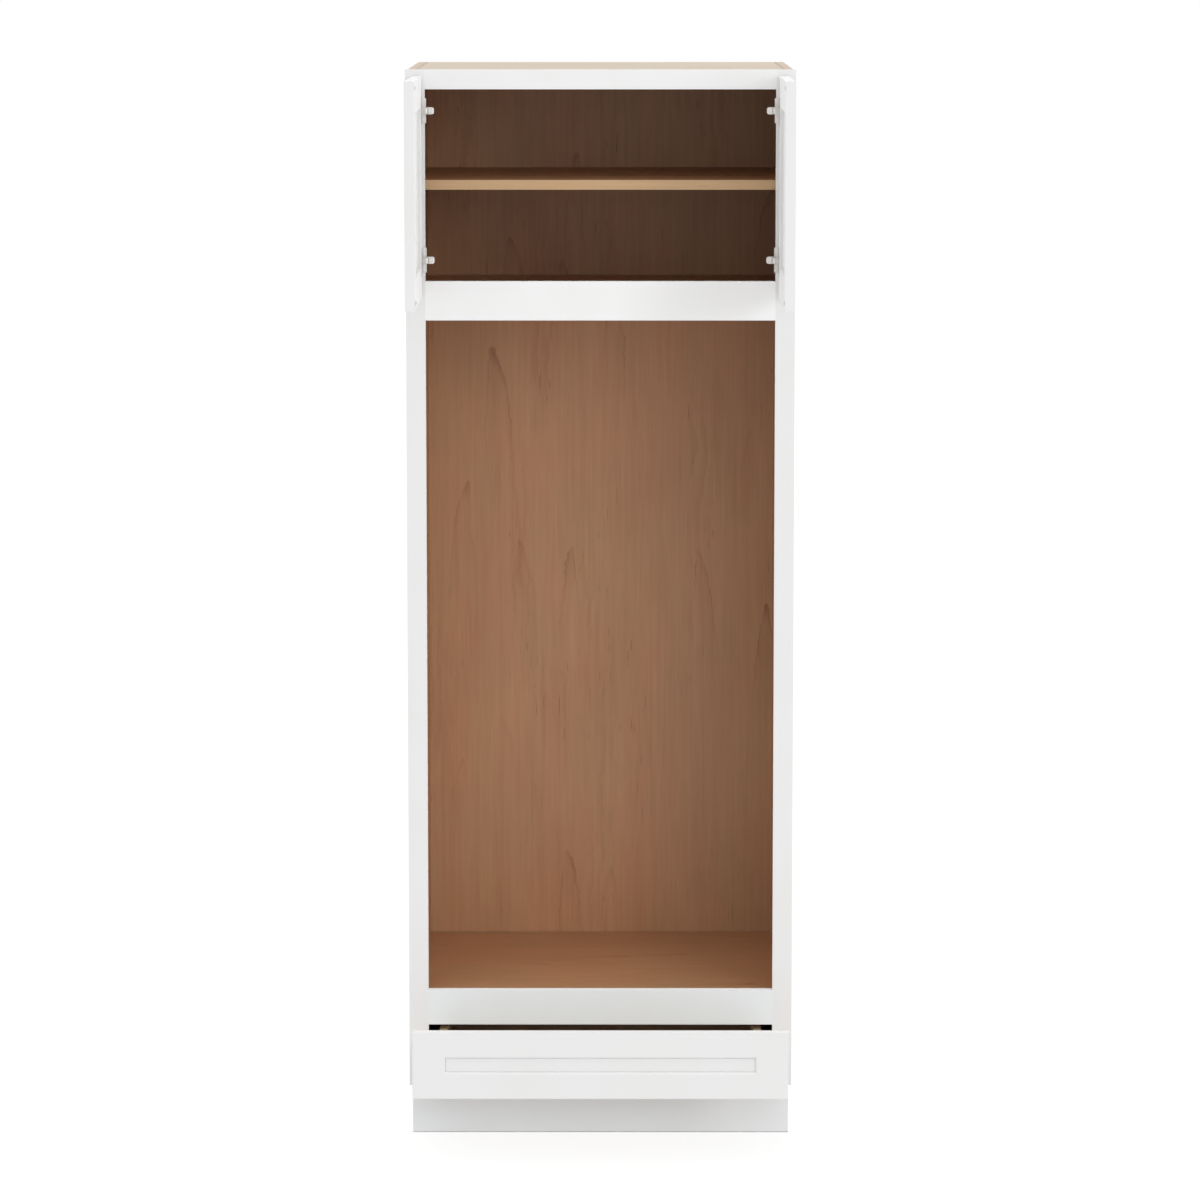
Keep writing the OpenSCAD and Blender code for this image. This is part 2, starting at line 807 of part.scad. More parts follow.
module door_free_stile(side) {
    color(white_paint) door_frame_place(side) framed_stile(door_w, door_h, door_member_w, -1);
}

module door_rail(side, end) {
    color(white_paint) door_frame_place(side) framed_rail(door_w, door_h, door_member_w, door_member_w, end);
}

module door_panel(side) {
    color(white_paint) door_frame_place(side) framed_panel(door_w, door_h, door_member_w, door_member_w);
}

module hinge_cups(side) {
    color(nickel) door_place(side) at_hinges() hinge_cup();
}

module hinge_pins(side) {
    color(zinc) door_place(side) at_hinges() hinge_pin();
}

module cup_screws(side) {
    color(zinc) door_place(side) at_hinges() cup_screw_places() cup_screw();
}

// A domed bumper that stands on the plane y = 0 and points along +y
module bumper() {
    dome_r = (pow(bumper_r, 2) + pow(bumper_h, 2)) / (2 * bumper_h);
    intersection() {
        translate([0, bumper_h - dome_r, 0]) sphere(r = dome_r, $fn = round_fn);
        translate([-dome_r, 0, -dome_r]) cube([2 * dome_r, dome_r, 2 * dome_r]);
    }
}

module door_bumpers(side) {
    color(clear_rubber) door_place(side)
        for (z = [door_z + door_lap_bottom / 2, door_z + door_h - door_lap_top / 2])
            translate([door_gap / 2 + bumper_in, door_back_y, z]) bumper();
}

// Drawer

module drawer_place() {
    translate([0, -drawer_out, 0]) children();
}

module drawer_front_place() {
    drawer_place() translate([-front_w / 2, door_front_y, front_z]) children();
}

module drawer_front_stile(side) {
    color(white_paint) drawer_front_place() framed_stile(front_w, front_h, front_stile_w, side);
}

module drawer_front_rail(end) {
    color(white_paint) difference() {
        drawer_front_place() framed_rail(front_w, front_h, front_rail_w, front_stile_w, end);
        drawer_place() front_screw_places() front_screw_shank(screw_fit);
    }
}

module drawer_front_panel() {
    color(white_paint) difference() {
        drawer_front_place() framed_panel(front_w, front_h, front_rail_w, front_stile_w);
        drawer_place() front_screw_places() front_screw_shank(screw_fit);
    }
}

module box_bottom_shape() {
    half = box_in_half + box_groove;
    board([-half, box_front_y + box_t - box_groove, box_floor_z],
          [half, box_back_y - box_t + box_groove, box_floor_z + box_bottom_t]);
}

// The right side of the box, with sockets for the dovetail pins at both ends. The
// back is notched for the slides, so it has no pin at the lower corner.
module box_side_shape() {
    narrow = tail_pin_w / 2;
    wide = narrow + tail_flare;
    difference() {
        board([box_in_half, box_front_y, box_z], [box_half, box_back_y, box_z + box_h]);
        for (end = [0, 1], pin = [end : tails])
            translate([box_in_half - past, end == 0 ? box_front_y : box_back_y, box_z + pin * tail_h])
                mirror([0, end, 0]) rotate([90, 0, 90]) linear_extrude(box_t + 2 * past)
                    polygon([[0, -narrow], [box_t, -wide], [box_t, wide], [0, narrow]]);
        box_bottom_shape();
    }
}

module box_side(side) {
    color(maple) drawer_place() handed(side) box_side_shape();
}

module box_end(low_y) {
    difference() {
        board([-box_half, low_y, box_z], [box_half, low_y + box_t, box_z + box_h]);
        for (side = [-1, 1]) handed(side) box_side_shape();
        box_bottom_shape();
    }
}

module drawer_box_front() {
    color(maple) drawer_place() difference() {
        box_end(box_front_y);
        front_screw_places() front_screw_shank(screw_fit);
    }
}

// The screw places, on the inner face of the front of the box, with +z into it
module front_screw_places() {
    for (sx = [-1, 1], z = front_screw_zs)
        translate([sx * (box_in_half - front_screw_in), box_front_y + box_t, z])
            rotate([90, 0, 0]) children();
}

module front_screw_shank(extra) {
    cylinder(r = front_screw_r + extra, h = box_t + front_screw_len + extra, $fn = round_fn);
}

module drawer_front_screws() {
    color(zinc) drawer_place() front_screw_places() {
        front_screw_shank(0);
        translate([0, 0, -front_screw_head_t])
            cylinder(r = front_screw_head_r, h = front_screw_head_t, $fn = round_fn);
    }
}

// The back is notched at both lower corners for the slides
module drawer_box_back() {
    color(maple) drawer_place() difference() {
        box_end(box_back_y - box_t);
        for (side = [-1, 1]) handed(side)
            board([slide_x - slide_w / 2 - notch_side_gap, box_back_y - box_t - past, box_z - past],
                  [box_in_half, box_back_y + past, box_floor_z]);
    }
}

module drawer_box_bottom() {
    color(veneer) drawer_place() box_bottom_shape();
}

module drawer_bumpers() {
    color(clear_rubber) drawer_place() for (side = [-1, 1]) handed(side)
        for (z = [front_z + front_lap_bottom / 2, front_z + front_h - front_lap_top / 2])
            translate([front_w / 2 - bumper_in, door_back_y, z]) bumper();
}

// Drawer slides. Each is a channel on the bottom panel, a channel under the
// drawer and a C-shaped middle member that runs between them.

// Section of an outer member: an open channel whose web lies on y = 0
module channel_section() {
    difference() {
        translate([-slide_w / 2, 0]) square([slide_w, slide_flange_h]);
        translate([-slide_w / 2 + slide_t, slide_t]) square([slide_w - 2 * slide_t, slide_flange_h]);
    }
}

// Carries a section along the slide from one place to the other
module along_slide(low_y, high_y) {
    translate([slide_x, high_y, 0]) rotate([90, 0, 0]) linear_extrude(high_y - low_y) children();
}

module slide_fixed_members() {
    color(zinc) for (side = [-1, 1]) handed(side)
        along_slide(slide_front_y, slide_back_y) translate([0, drawer_z]) channel_section();
}

// Section of the middle member: a tube with a slot along its inner side
module middle_section() {
    difference() {
        rounded_rect(middle_w, middle_h, middle_corner_r);
        rounded_rect(middle_w - 2 * slide_t, middle_h - 2 * slide_t, middle_corner_r - slide_t);
        translate([-middle_w / 2 - past, -middle_slot_h / 2]) square([slide_t + 2 * past, middle_slot_h]);
    }
}

// The middle member goes half as far as the drawer
module slide_middle_member(side) {
    color(zinc) translate([0, -drawer_out / 2, 0]) handed(side)
        along_slide(middle_front_y, middle_front_y + middle_len)
            translate([0, drawer_z + slide_t + slide_gap + middle_h / 2]) middle_section();
}

module slide_drawer_members() {
    color(zinc) drawer_place() for (side = [-1, 1]) handed(side)
        along_slide(runner_front_y, runner_back_y)
            translate([0, box_floor_z]) mirror([0, 1, 0]) channel_section();
}

// A hollow bracket from the end of the fixed member to the back panel
module slide_rear_brackets() {
    low = [slide_x - slide_w / 2, slide_back_y, drawer_z];
    high = [slide_x + slide_w / 2, back_face_y, drawer_z + bracket_h];
    wall = [bracket_wall, bracket_wall, bracket_wall];
    color(grey_plastic) for (side = [-1, 1]) handed(side) difference() {
        board(low, high);
        board(low + wall, [high[0] - bracket_wall, high[1] - bracket_wall, high[2] + past]);
    }
}

// Clips under the front of the drawer, beside the slides, each with a release lever
module drawer_lock_clips() {
    low_y = box_front_y + box_t;
    high_x = slide_x - slide_w / 2 - clip_gap;
    color(grey_plastic) drawer_place() for (side = [-1, 1]) handed(side) {
        translate([high_x - clip_w / 2, low_y + clip_len / 2, box_floor_z - clip_h]) linear_extrude(clip_h)
            rounded_rect(clip_w, clip_len, clip_corner_r);
        translate([high_x - clip_w / 2, low_y + clip_len, box_floor_z - clip_h]) linear_extrude(clip_lever_t)
            rounded_rect(clip_lever_w, 2 * clip_lever_len, clip_corner_r);
    }
}

side_panel(-1);  // side_panel_left
side_panel(1);  // side_panel_right
top_panel();
upper_deck();
oven_deck();
oven_deck_cleats();
bottom_panel();
back_panel();
wall_nailers();
toe_rail();
toe_kick_skin();
frame_stile(-1);  // frame_stile_left
frame_stile(1);  // frame_stile_right
frame_rail(top_rail);  // frame_rail_top
frame_rail(middle_rail);  // frame_rail_middle
frame_rail(lower_rail);  // frame_rail_lower
frame_rail(bottom_rail);  // frame_rail_bottom
adjustable_shelf();
shelf_edge_band();
shelf_pins();
hinge_plates();
hinge_arms();
hinge_plate_screws();
slide_fixed_members();
slide_rear_brackets();
door_hinge_stile(-1);  // left_door_hinge_stile
door_free_stile(-1);  // left_door_free_stile
door_rail(-1, 1);  // left_door_top_rail
door_rail(-1, -1);  // left_door_bottom_rail
door_panel(-1);  // left_door_panel
hinge_cups(-1);  // left_hinge_cups
hinge_pins(-1);  // left_hinge_pins
cup_screws(-1);  // left_cup_screws
door_bumpers(-1);  // left_door_bumpers
door_hinge_stile(1);  // right_door_hinge_stile
door_free_stile(1);  // right_door_free_stile
door_rail(1, 1);  // right_door_top_rail
door_rail(1, -1);  // right_door_bottom_rail
door_panel(1);  // right_door_panel
hinge_cups(1);  // right_hinge_cups
hinge_pins(1);  // right_hinge_pins
cup_screws(1);  // right_cup_screws
door_bumpers(1);  // right_door_bumpers
slide_middle_member(-1);  // slide_middle_member_left
slide_middle_member(1);  // slide_middle_member_right
drawer_front_stile(-1);  // drawer_front_stile_left
drawer_front_stile(1);  // drawer_front_stile_right
drawer_front_rail(1);  // drawer_front_rail_top
drawer_front_rail(-1);  // drawer_front_rail_bottom
drawer_front_panel();
box_side(-1);  // drawer_box_side_left
box_side(1);  // drawer_box_side_right
drawer_box_front();
drawer_box_back();
drawer_box_bottom();
drawer_front_screws();
slide_drawer_members();
drawer_lock_clips();
drawer_bumpers();
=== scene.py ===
"""Looks for a tall double oven cabinet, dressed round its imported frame.

Everything is in metres. The origin is on the floor, at the middle of the width, in the plane of
the wall behind the cabinet. The front looks along -Y and +Z is up.
"""

import logging
import math
from collections.abc import Sequence
from dataclasses import dataclass
from enum import Enum, IntEnum

import bpy
import numpy as np
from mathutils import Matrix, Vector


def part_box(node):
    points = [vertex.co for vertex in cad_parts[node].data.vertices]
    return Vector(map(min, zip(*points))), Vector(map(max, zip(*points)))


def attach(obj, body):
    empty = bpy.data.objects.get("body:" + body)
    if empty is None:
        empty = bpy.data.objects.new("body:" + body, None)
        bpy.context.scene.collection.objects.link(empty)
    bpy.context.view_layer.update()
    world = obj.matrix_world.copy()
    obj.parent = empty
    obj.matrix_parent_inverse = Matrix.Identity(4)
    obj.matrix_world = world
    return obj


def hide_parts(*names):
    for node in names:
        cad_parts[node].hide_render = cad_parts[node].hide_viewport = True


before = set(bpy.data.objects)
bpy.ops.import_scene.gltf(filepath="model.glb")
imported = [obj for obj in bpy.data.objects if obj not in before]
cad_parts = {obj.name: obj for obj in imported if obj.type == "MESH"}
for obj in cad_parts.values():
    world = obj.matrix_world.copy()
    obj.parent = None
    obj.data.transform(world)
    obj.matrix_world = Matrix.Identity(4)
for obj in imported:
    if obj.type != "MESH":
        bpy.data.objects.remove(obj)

MM = 0.001
log = logging.getLogger("oven_cabinet")

Triple = tuple[float, float, float]
Colour = Triple
Ramp = tuple[float, ...]  # low and high, then what they turn into where that isn't 0 and 1
Skin = tuple[np.ndarray, list[tuple[int, ...]]]
Socket = bpy.types.NodeSocket
Value = float | Sequence[float] | Socket

WHITE: Colour = (1.0, 1.0, 1.0)
PAINT_WHITE: Colour = (0.896, 0.896, 0.896)
# The dark of the joint lines: real dark joints, and painted shade in inside corners and at the floor.
JOINT_AND_PAINTED_SHADE_DARK: Colour = (0.05, 0.03, 0.02)
TONE_TOP = 1.6  # the darkest tone of the maple's figure; 1 is its ordinary dark
SQUARE_ON = 0.5  # past this share of a normal along an axis, a face looks along that axis


class Axis(IntEnum):
    """The frame's axes, by their places in a vector."""

    X = 0
    Y = 1
    Z = 2


def srgb(red: float, green: float, blue: float) -> Colour:
    """Turns a colour as a screen shows it, 0 to 255, into linear light.

    Args:
        red: The red level.
        green: The green level.
        blue: The blue level.

    Returns:
        The three linear levels, from ((c + 0.055) / 1.055) ** 2.4 above the short straight part.
    """
    levels = np.array([red, green, blue]) / 255.0
    curved = ((levels + 0.055) / 1.055) ** 2.4
    return tuple(float(c) for c in np.where(levels <= 0.04045, levels / 12.92, curved))


class ShaderGraph:
    """Adds nodes to one node tree. An input is a plain value or another node's output."""

    MIX_FACTOR, MIX_A, MIX_B, MIX_RESULT = 0, 6, 7, 2

    def __init__(self, tree: bpy.types.NodeTree) -> None:
        """Keeps the tree that the nodes go into."""
        self.tree = tree

    def put(self, socket: Socket, value: Value) -> None:
        """Sets one input.

        Args:
            socket: The input.
            value: A number, a vector, a colour or another node's output.
        """
        if isinstance(value, bpy.types.NodeSocket):
            self.tree.links.new(value, socket)
        elif isinstance(value, (int, float)):
            socket.default_value = value
        elif len(value) == 3 and socket.type == "RGBA":
            socket.default_value = (*value, 1.0)
        else:
            socket.default_value = tuple(value)

    def node(self, kind: str, inputs: dict[str | int, Value] | None = None,
             **settings: object) -> bpy.types.Node:
        """Adds a node.

        Args:
            kind: The node's type, without the word ShaderNode.
            inputs: Values or outputs by input name or place.
            settings: Attributes of the node.

        Returns:
            The new node.
        """
        made = self.tree.nodes.new("ShaderNode" + kind)
        for name, setting in settings.items():
            setattr(made, name, setting)
        for key, value in (inputs or {}).items():
            self.put(made.inputs[key], value)
        return made

    def math(self, operation: str, a: Value, b: Value = 0.0, c: Value = 0.0) -> Socket:
        """Adds a Math node and returns its output."""
        return self.node("Math", {0: a, 1: b, 2: c}, operation=operation).outputs[0]

    def product(self, first: Value, *factors: Value) -> Socket:
        """Multiplies values, each by the product of those before it.

        Args:
            first: The first value.
            factors: One more value or several.

        Returns:
            The product.
        """
        for factor in factors:
            first = self.math("MULTIPLY", first, factor)
        return first

    def scaled(self, value: Value, factor: Value, shift: Value) -> Socket:
        """Returns value * factor + shift."""
        return self.math("MULTIPLY_ADD", value, factor, shift)

    def axes(self, vector: Value) -> Sequence[Socket]:
        """Splits a vector into its three parts."""
        return self.node("SeparateXYZ", {0: vector}).outputs

    def vector(self, x: Value, y: Value, z: Value) -> Socket:
        """Joins three values into a vector."""
        return self.node("CombineXYZ", {0: x, 1: y, 2: z}).outputs[0]

    def noise(self, vector: Value, scale: float, detail: float = 2.0, roughness: float = 0.5) -> Socket:
        """Adds a Noise Texture and returns its value, about 0.5 on average."""
        inputs = {"Vector": vector, "Scale": scale, "Detail": detail, "Roughness": roughness}
        return self.node("TexNoise", inputs).outputs[0]

    def drawn_noise(self, vector: Value, scales: Sequence[float], shift: Sequence[float] = (0, 0, 0),
                    detail: float = 2.0, roughness: float = 0.5) -> Socket:
        """Adds a Noise Texture that is drawn out along some axes.

        Args:
            vector: The place.
            scales: The noise's scale along each axis. A small one gives long marks.
            shift: How far the noise is moved, so that no two fall together.
            detail: The Noise Texture's detail.
            roughness: The Noise Texture's roughness.

        Returns:
            Its value, about 0.5 on average.
        """
        inputs = {0: vector, 1: scales, 2: shift}
        drawn = self.node("VectorMath", inputs, operation="MULTIPLY_ADD").outputs[0]
        return self.noise(drawn, 1.0, detail, roughness)

    def ramp(self, value: Value, low: float, high: float, to_low: float = 0.0,
             to_high: float = 1.0) -> Socket:
        """Maps low..high onto to_low..to_high along a smooth step, held at both ends."""
        inputs = {0: value, 1: low, 2: high, 3: to_low, 4: to_high}
        return self.node("MapRange", inputs, interpolation_type="SMOOTHSTEP").outputs[0]

    def mix(self, factor: Value, a: Value, b: Value, blend: str = "MIX") -> Socket:
        """Mixes two colours.

        Args:
            factor: The share of the second colour.
            a: The first colour.
            b: The second colour.
            blend: The way of mixing.

        Returns:
            The mixed colour.
        """
        made = self.node("Mix", data_type="RGBA", blend_type=blend, clamp_factor=True)
        self.put(made.inputs[self.MIX_FACTOR], factor)
        self.put(made.inputs[self.MIX_A], a)
        self.put(made.inputs[self.MIX_B], b)
        return made.outputs[self.MIX_RESULT]

    def group(self, tree: bpy.types.NodeTree, inputs: dict[str, Value]) -> bpy.types.Node:
        """Places a node group.

        Args:
            tree: The group.
            inputs: Values or outputs by input name.

        Returns:
            The node that stands for it.
        """
        made = self.tree.nodes.new("ShaderNodeGroup")
        made.node_tree = tree
        for name, value in inputs.items():
            self.put(made.inputs[name], value)
        return made


def new_group(name: str, inputs: dict[str, str], outputs: dict[str, str]
              ) -> tuple[ShaderGraph, dict[str, Socket], bpy.types.Node]:
    """Starts a shader node group with named sockets.

    Args:
        name: The group's name.
        inputs: Socket types by input name: Float, Vector or Color.
        outputs: Socket types by output name.

    Returns:
        The graph, the inputs' sockets by name and the node that takes the outputs.
    """
    tree = bpy.data.node_groups.new(name, "ShaderNodeTree")
    for way, sockets in (("INPUT", inputs), ("OUTPUT", outputs)):
        for label, kind in sockets.items():
            tree.interface.new_socket(name=label, in_out=way, socket_type="NodeSocket" + kind)
    graph = ShaderGraph(tree)
    start, end = tree.nodes.new("NodeGroupInput"), tree.nodes.new("NodeGroupOutput")
    return graph, {label: start.outputs[label] for label in inputs}, end


@dataclass(frozen=True)
class MapleFigure:
    """The figure of flat cut maple, as one node group.

    Lengths are in metres. The scales of a noise run across the board, through it and along its
    grain, a ramp picks out a part of it, and a share is how much a mark adds to the tone.
    """

    bend: Triple = (19, 19, 7)
    bend_size: float = 0.03
    jag: Triple = (40, 40, 75)
    jag_size: float = 0.011
    cells: tuple[tuple[float, float], ...] = ((0.098, 0.62), (0.143, 0.87))
    peak_spread: float = 0.3
    peak_from: float = 0.35
    head_spread: float = 0.12
    head_from: float = 0.86
    there: Ramp = (0.3, 1.0)
    half_width: float = 0.05
    lean: float = 0.55
    rim: float = 0.006
    band: float = 0.045
    wash: float = 0.26
    wash_share: float = 0.3
    legs: Ramp = (0.34, 0.05)
    breaks: Triple = (60, 60, 12)
    break_ramp: Ramp = (0.36, 0.6, 0.35, 1.0)
    ring_rise: Ramp = (0.2, 0.96)
    ring_fall: Ramp = (1.0, 0.97)
    fade: Triple = (11, 11, 1.7)
    fade_ramp: Ramp = (0.5, 0.75)
    fine_detail: float = 3.0
    fine_roughness: float = 0.6
    fibre: Triple = (480, 480, 9)
    fibre_share: float = 0.6
    streak: Triple = (120, 120, 2.4)
    streak_share: float = 0.62
    broad: Triple = (11, 11, 3.2)
    broad_share: float = 0.8
    ring_share: float = 0.3
    plain_tone: float = 0.42
    hue: Triple = (12, 12, 4.0)
    hue_ramp: Ramp = (0.32, 0.68)
    fleck: Triple = (300, 300, 17)
    fleck_ramp: Ramp = (0.7, 0.77)
    fleck_fade: Ramp = (0.47, 0.6)
    fibre_height: float = 0.7
    fleck_depth: float = 0.6

    def group(self) -> bpy.types.NodeTree:
        """Builds the node group.

        Across is u, depth is v and along is w. A noise bends u, so that every line wavers. Two
        sets of arches lie under long faint rings, streaks, fibres and short dark flecks.

        Returns:
            The group: Grain (the place on the board), Ring (the spacing of the rings), Lines and
            Arches (their strengths) and Seed in; Tone (0 light, 1 dark, up to TONE_TOP), Hue
            (0 rosy, 1 olive), Fleck and Relief out.
        """
        graph, given, end = new_group(
            "timber_grain",
            {"Grain": "Vector", "Ring": "Float", "Lines": "Float", "Arches": "Float", "Seed": "Float"},
            {"Tone": "Float", "Hue": "Float", "Fleck": "Float", "Relief": "Float"},
        )
        grain = given["Grain"]
        bend = graph.drawn_noise(grain, self.bend)
        jag = graph.drawn_noise(grain, self.jag, (2, 4, 6))
        u, v, w = graph.axes(grain)
        across = graph.math("ADD", u, graph.scaled(jag, self.jag_size, graph.product(bend, self.bend_size)))

        arches = [self.arches(graph, given, across, w, number) for number in range(len(self.cells))]
        broken = graph.ramp(graph.drawn_noise(grain, self.breaks, (3, 3, 7)), *self.break_ramp)
        arch = graph.product(graph.math("ADD", *arches), given["Arches"], broken)

        radius = graph.math("ADD", across, graph.scaled(bend, self.bend_size, v))
        ring = graph.math("FRACT", graph.math("DIVIDE", radius, given["Ring"]))
        fade = graph.drawn_noise(grain, self.fade, (5, 2, 9))
        line = graph.product(graph.ramp(ring, *self.ring_rise), graph.ramp(ring, *self.ring_fall),
                             graph.ramp(fade, *self.fade_ramp), given["Lines"])

        fine = (self.fine_detail, self.fine_roughness)
        fibre = graph.drawn_noise(grain, self.fibre, (0, 0, 0), *fine)
        streak = graph.drawn_noise(grain, self.streak, (1, 7, 3), *fine)
        broad = graph.drawn_noise(grain, self.broad, (4, 1, 8), *fine)
        tone = graph.scaled(fibre, self.fibre_share, -self.fibre_share / 2)
        for mark, share in ((streak, self.streak_share), (broad, self.broad_share)):
            tone = graph.math("ADD", tone, graph.scaled(mark, share, -share / 2))
        tone = graph.math("ADD", tone, graph.scaled(line, self.ring_share, self.plain_tone))
        tone = graph.math("ADD", tone, arch)

        hue = graph.drawn_noise(grain, self.hue, (9, 6, 2))
        flecks = graph.drawn_noise(grain, self.fleck, (8, 3, 1), 1.0)
        fleck = graph.product(graph.ramp(flecks, *self.fleck_ramp), graph.ramp(fade, *self.fleck_fade))
        raised, sunk = graph.product(fibre, self.fibre_height), graph.product(fleck, self.fleck_depth)
        graph.put(end.inputs["Tone"], graph.node("Clamp", {0: tone, 2: TONE_TOP}).outputs[0])
        graph.put(end.inputs["Hue"], graph.ramp(hue, *self.hue_ramp))
        graph.put(end.inputs["Fleck"], fleck)
        graph.put(end.inputs["Relief"], graph.math("SUBTRACT", raised, sunk))
        return graph.tree

    def arches(self, graph: ShaderGraph, given: dict[str, Socket], across: Socket, along: Socket,
               number: int) -> Socket:
        """Draws one set of arches, where a growth ring is cut at its peak.

        The board is shared out in tall cells, and some hold one ring: the arch q = 0 of
        q = d - ((x + k|x|) / h)^2, with d the depth below its peak, x the distance from its
        middle, h the half width and k its own lean to one side. It is sharp outside at q = 0,
        fades inside over the band and the wash, and dies out downwards along its legs.

        Args:
            graph: The group's graph.
            given: The group's inputs.
            across: The bent place across the grain.
            along: The place along the grain.
            number: Which of the cells' sizes the set has.

        Returns:
            The share that the arches add to the tone.
        """
        wide, tall = self.cells[number]
        cell = graph.math("DIVIDE", across, wide)
        column = graph.math("FLOOR", cell)
        own = graph.vector(column, given["Seed"], 3.3 + number)
        lift = graph.node("TexWhiteNoise", {"Vector": own}, noise_dimensions="3D").outputs[0]
        height = graph.math("ADD", graph.math("DIVIDE", along, tall), lift)
        row = graph.math("FLOOR", height)
        own = graph.vector(column, row, graph.math("ADD", given["Seed"], number * 5.5))
        chance = graph.node("TexWhiteNoise", {"Vector": own}, noise_dimensions="3D").outputs[1]
        red, green, blue = graph.node("SeparateColor", {0: chance}).outputs

        middle = graph.scaled(red, self.peak_spread, self.peak_from)
        x = graph.math("SUBTRACT", graph.math("FRACT", cell), middle)
        x = graph.product(x, wide / self.half_width)
        x = graph.scaled(graph.math("ABSOLUTE", x), graph.scaled(lift, 2 * self.lean, -self.lean), x)
        head = graph.scaled(green, self.head_spread, self.head_from)
        below = graph.product(graph.math("SUBTRACT", head, graph.math("FRACT", height)), tall)
        q = graph.math("SUBTRACT", below, graph.product(x, x))
        rim = graph.ramp(q, 0.0, self.rim)
        inside = graph.product(rim, graph.ramp(q, self.band, 0.0))
        wash = graph.product(rim, graph.ramp(q, self.wash, 0.0, 0.0, self.wash_share))
        dying, there = graph.ramp(below, *self.legs), graph.ramp(blue, *self.there)
        return graph.product(graph.math("ADD", inside, wash), dying, there)


class Effects:
    """The shader node groups that several finishes share. Each is built once."""

    def __init__(self) -> None:
        """Builds every group."""
        self.timber = MapleFigure().group()
        self.plies = self._plies()
        self.mottle = self._mottle()
        self.peel = self._peel()
        self.joint = self._joint()

    @staticmethod
    def _plies() -> bpy.types.NodeTree:
        """Layers on a cut edge of plywood.

        Returns:
            The group: Grain and Sheet (the thickness of a layer) in; Dark out, from 0 on a long
            grain layer to 1 on a cross cut one or a glue line.
        """
        graph, given, end = new_group(
            "plywood_layers", {"Grain": "Vector", "Sheet": "Float"}, {"Dark": "Float"}
        )
        wave_scale, wave_size = (9, 9, 9), 0.25
        glue_half, glue_dark = 0.06, 0.8
        pore_scale, pore_share, least_dark = (900, 900, 900), 0.8, 0.15
        layer = graph.math("DIVIDE", graph.axes(given["Grain"])[1], given["Sheet"])
        wave = graph.drawn_noise(given["Grain"], wave_scale, detail=1.0)
        layer = graph.scaled(wave, wave_size, layer)
        cross = graph.math("ROUND", graph.math("PINGPONG", layer, 1.0))
        off = graph.math("ABSOLUTE", graph.math("SUBTRACT", graph.math("FRACT", layer), 0.5))
        glue = graph.product(graph.ramp(off, glue_half, 0.0), glue_dark)
        pores = graph.drawn_noise(given["Grain"], pore_scale)
        dark = graph.product(cross, graph.scaled(pores, pore_share, least_dark))
        graph.put(end.inputs["Dark"], graph.math("MAXIMUM", dark, glue))
        return graph.tree

    @staticmethod
    def _mottle() -> bpy.types.NodeTree:
        """Uneven tone, as handling and dust leave it on any surface.

        Returns:
            The group: Vector, Coarse and Fine scales in; Cloud and Speck, from 0 to 1, out.
        """
        graph, given, end = new_group(
            "mottle",
            {"Vector": "Vector", "Coarse": "Float", "Fine": "Float"},
            {"Cloud": "Float", "Speck": "Float"},
        )
        for output, scale, detail in (("Cloud", "Coarse", 3.0), ("Speck", "Fine", 2.0)):
            inputs = {"Vector": given["Vector"], "Scale": given[scale], "Detail": detail}
            graph.put(end.inputs[output], graph.node("TexNoise", inputs).outputs[0])
        return graph.tree

    @staticmethod
    def _joint() -> bpy.types.NodeTree:
        """A fine dark line where the size of a coordinate comes near one value.

        Returns:
            The group: Place (the coordinate), At, Width, Facing (how far the face looks along the
            axis that the line shows on) and Vector in; Dark, from 0 to 1, out.
        """
        graph, given, end = new_group(
            "joint_line",
            {"Place": "Float", "At": "Float", "Width": "Float", "Facing": "Float", "Vector": "Vector"},
            {"Dark": "Float"},
        )
        filling, filled = 45.0, (0.2, 0.6, 0.5, 1.0)
        size = graph.math("ABSOLUTE", given["Place"])
        away = graph.math("ABSOLUTE", graph.math("SUBTRACT", size, given["At"]))
        line = graph.ramp(graph.math("DIVIDE", away, given["Width"]), 1.0, 0.0)
        shown = graph.math("GREATER_THAN", given["Facing"], SQUARE_ON)
        broken = graph.ramp(graph.noise(given["Vector"], filling, 3.0), *filled)
        graph.put(end.inputs["Dark"], graph.product(line, shown, broken))
        return graph.tree

    @staticmethod
    def _peel() -> bpy.types.NodeTree:
        """Skin of a sprayed paint: a fine orange peel over the faint lines of the timber below.

        Returns:
            The group: Vector for the peel and Lines, a drawn out place for the lines, in; Height
            out.
        """
        graph, given, end = new_group(
            "paint_skin", {"Vector": "Vector", "Lines": "Vector"}, {"Height": "Float"}
        )
        peel_scale, line_height = 420.0, 0.45
        peel = graph.noise(given["Vector"], peel_scale, 2.0, 0.45)
        lines = graph.noise(given["Lines"], 1.0, 3.0, 0.6)
        graph.put(end.inputs["Height"], graph.scaled(lines, line_height, peel))
        return graph.tree


@dataclass(frozen=True)
class Joint:
    """A dark line where two boards meet: where the size of the coordinate on axis is place.

    It shows on both faces across the axis facing, or with front_only on the one that looks
    towards the axis's negative end. Some of these lines are painted shade in a corner or at the
    floor rather than a dark joint.
    """

    axis: Axis
    place: float
    width: float
    facing: Axis
    depth: float
    front_only: bool = False


class Cut(Enum):
    """Which axes run across a board, through it and along its grain, in that order."""

    UPRIGHT_FACING_FRONT = (Axis.X, Axis.Y, Axis.Z)
    UPRIGHT_FACING_SIDE = (Axis.Y, Axis.X, Axis.Z)
    LYING_GRAIN_ACROSS = (Axis.Y, Axis.Z, Axis.X)
    RAIL_FACING_FRONT = (Axis.Z, Axis.Y, Axis.X)
    RAIL_FACING_SIDE = (Axis.Z, Axis.X, Axis.Y)


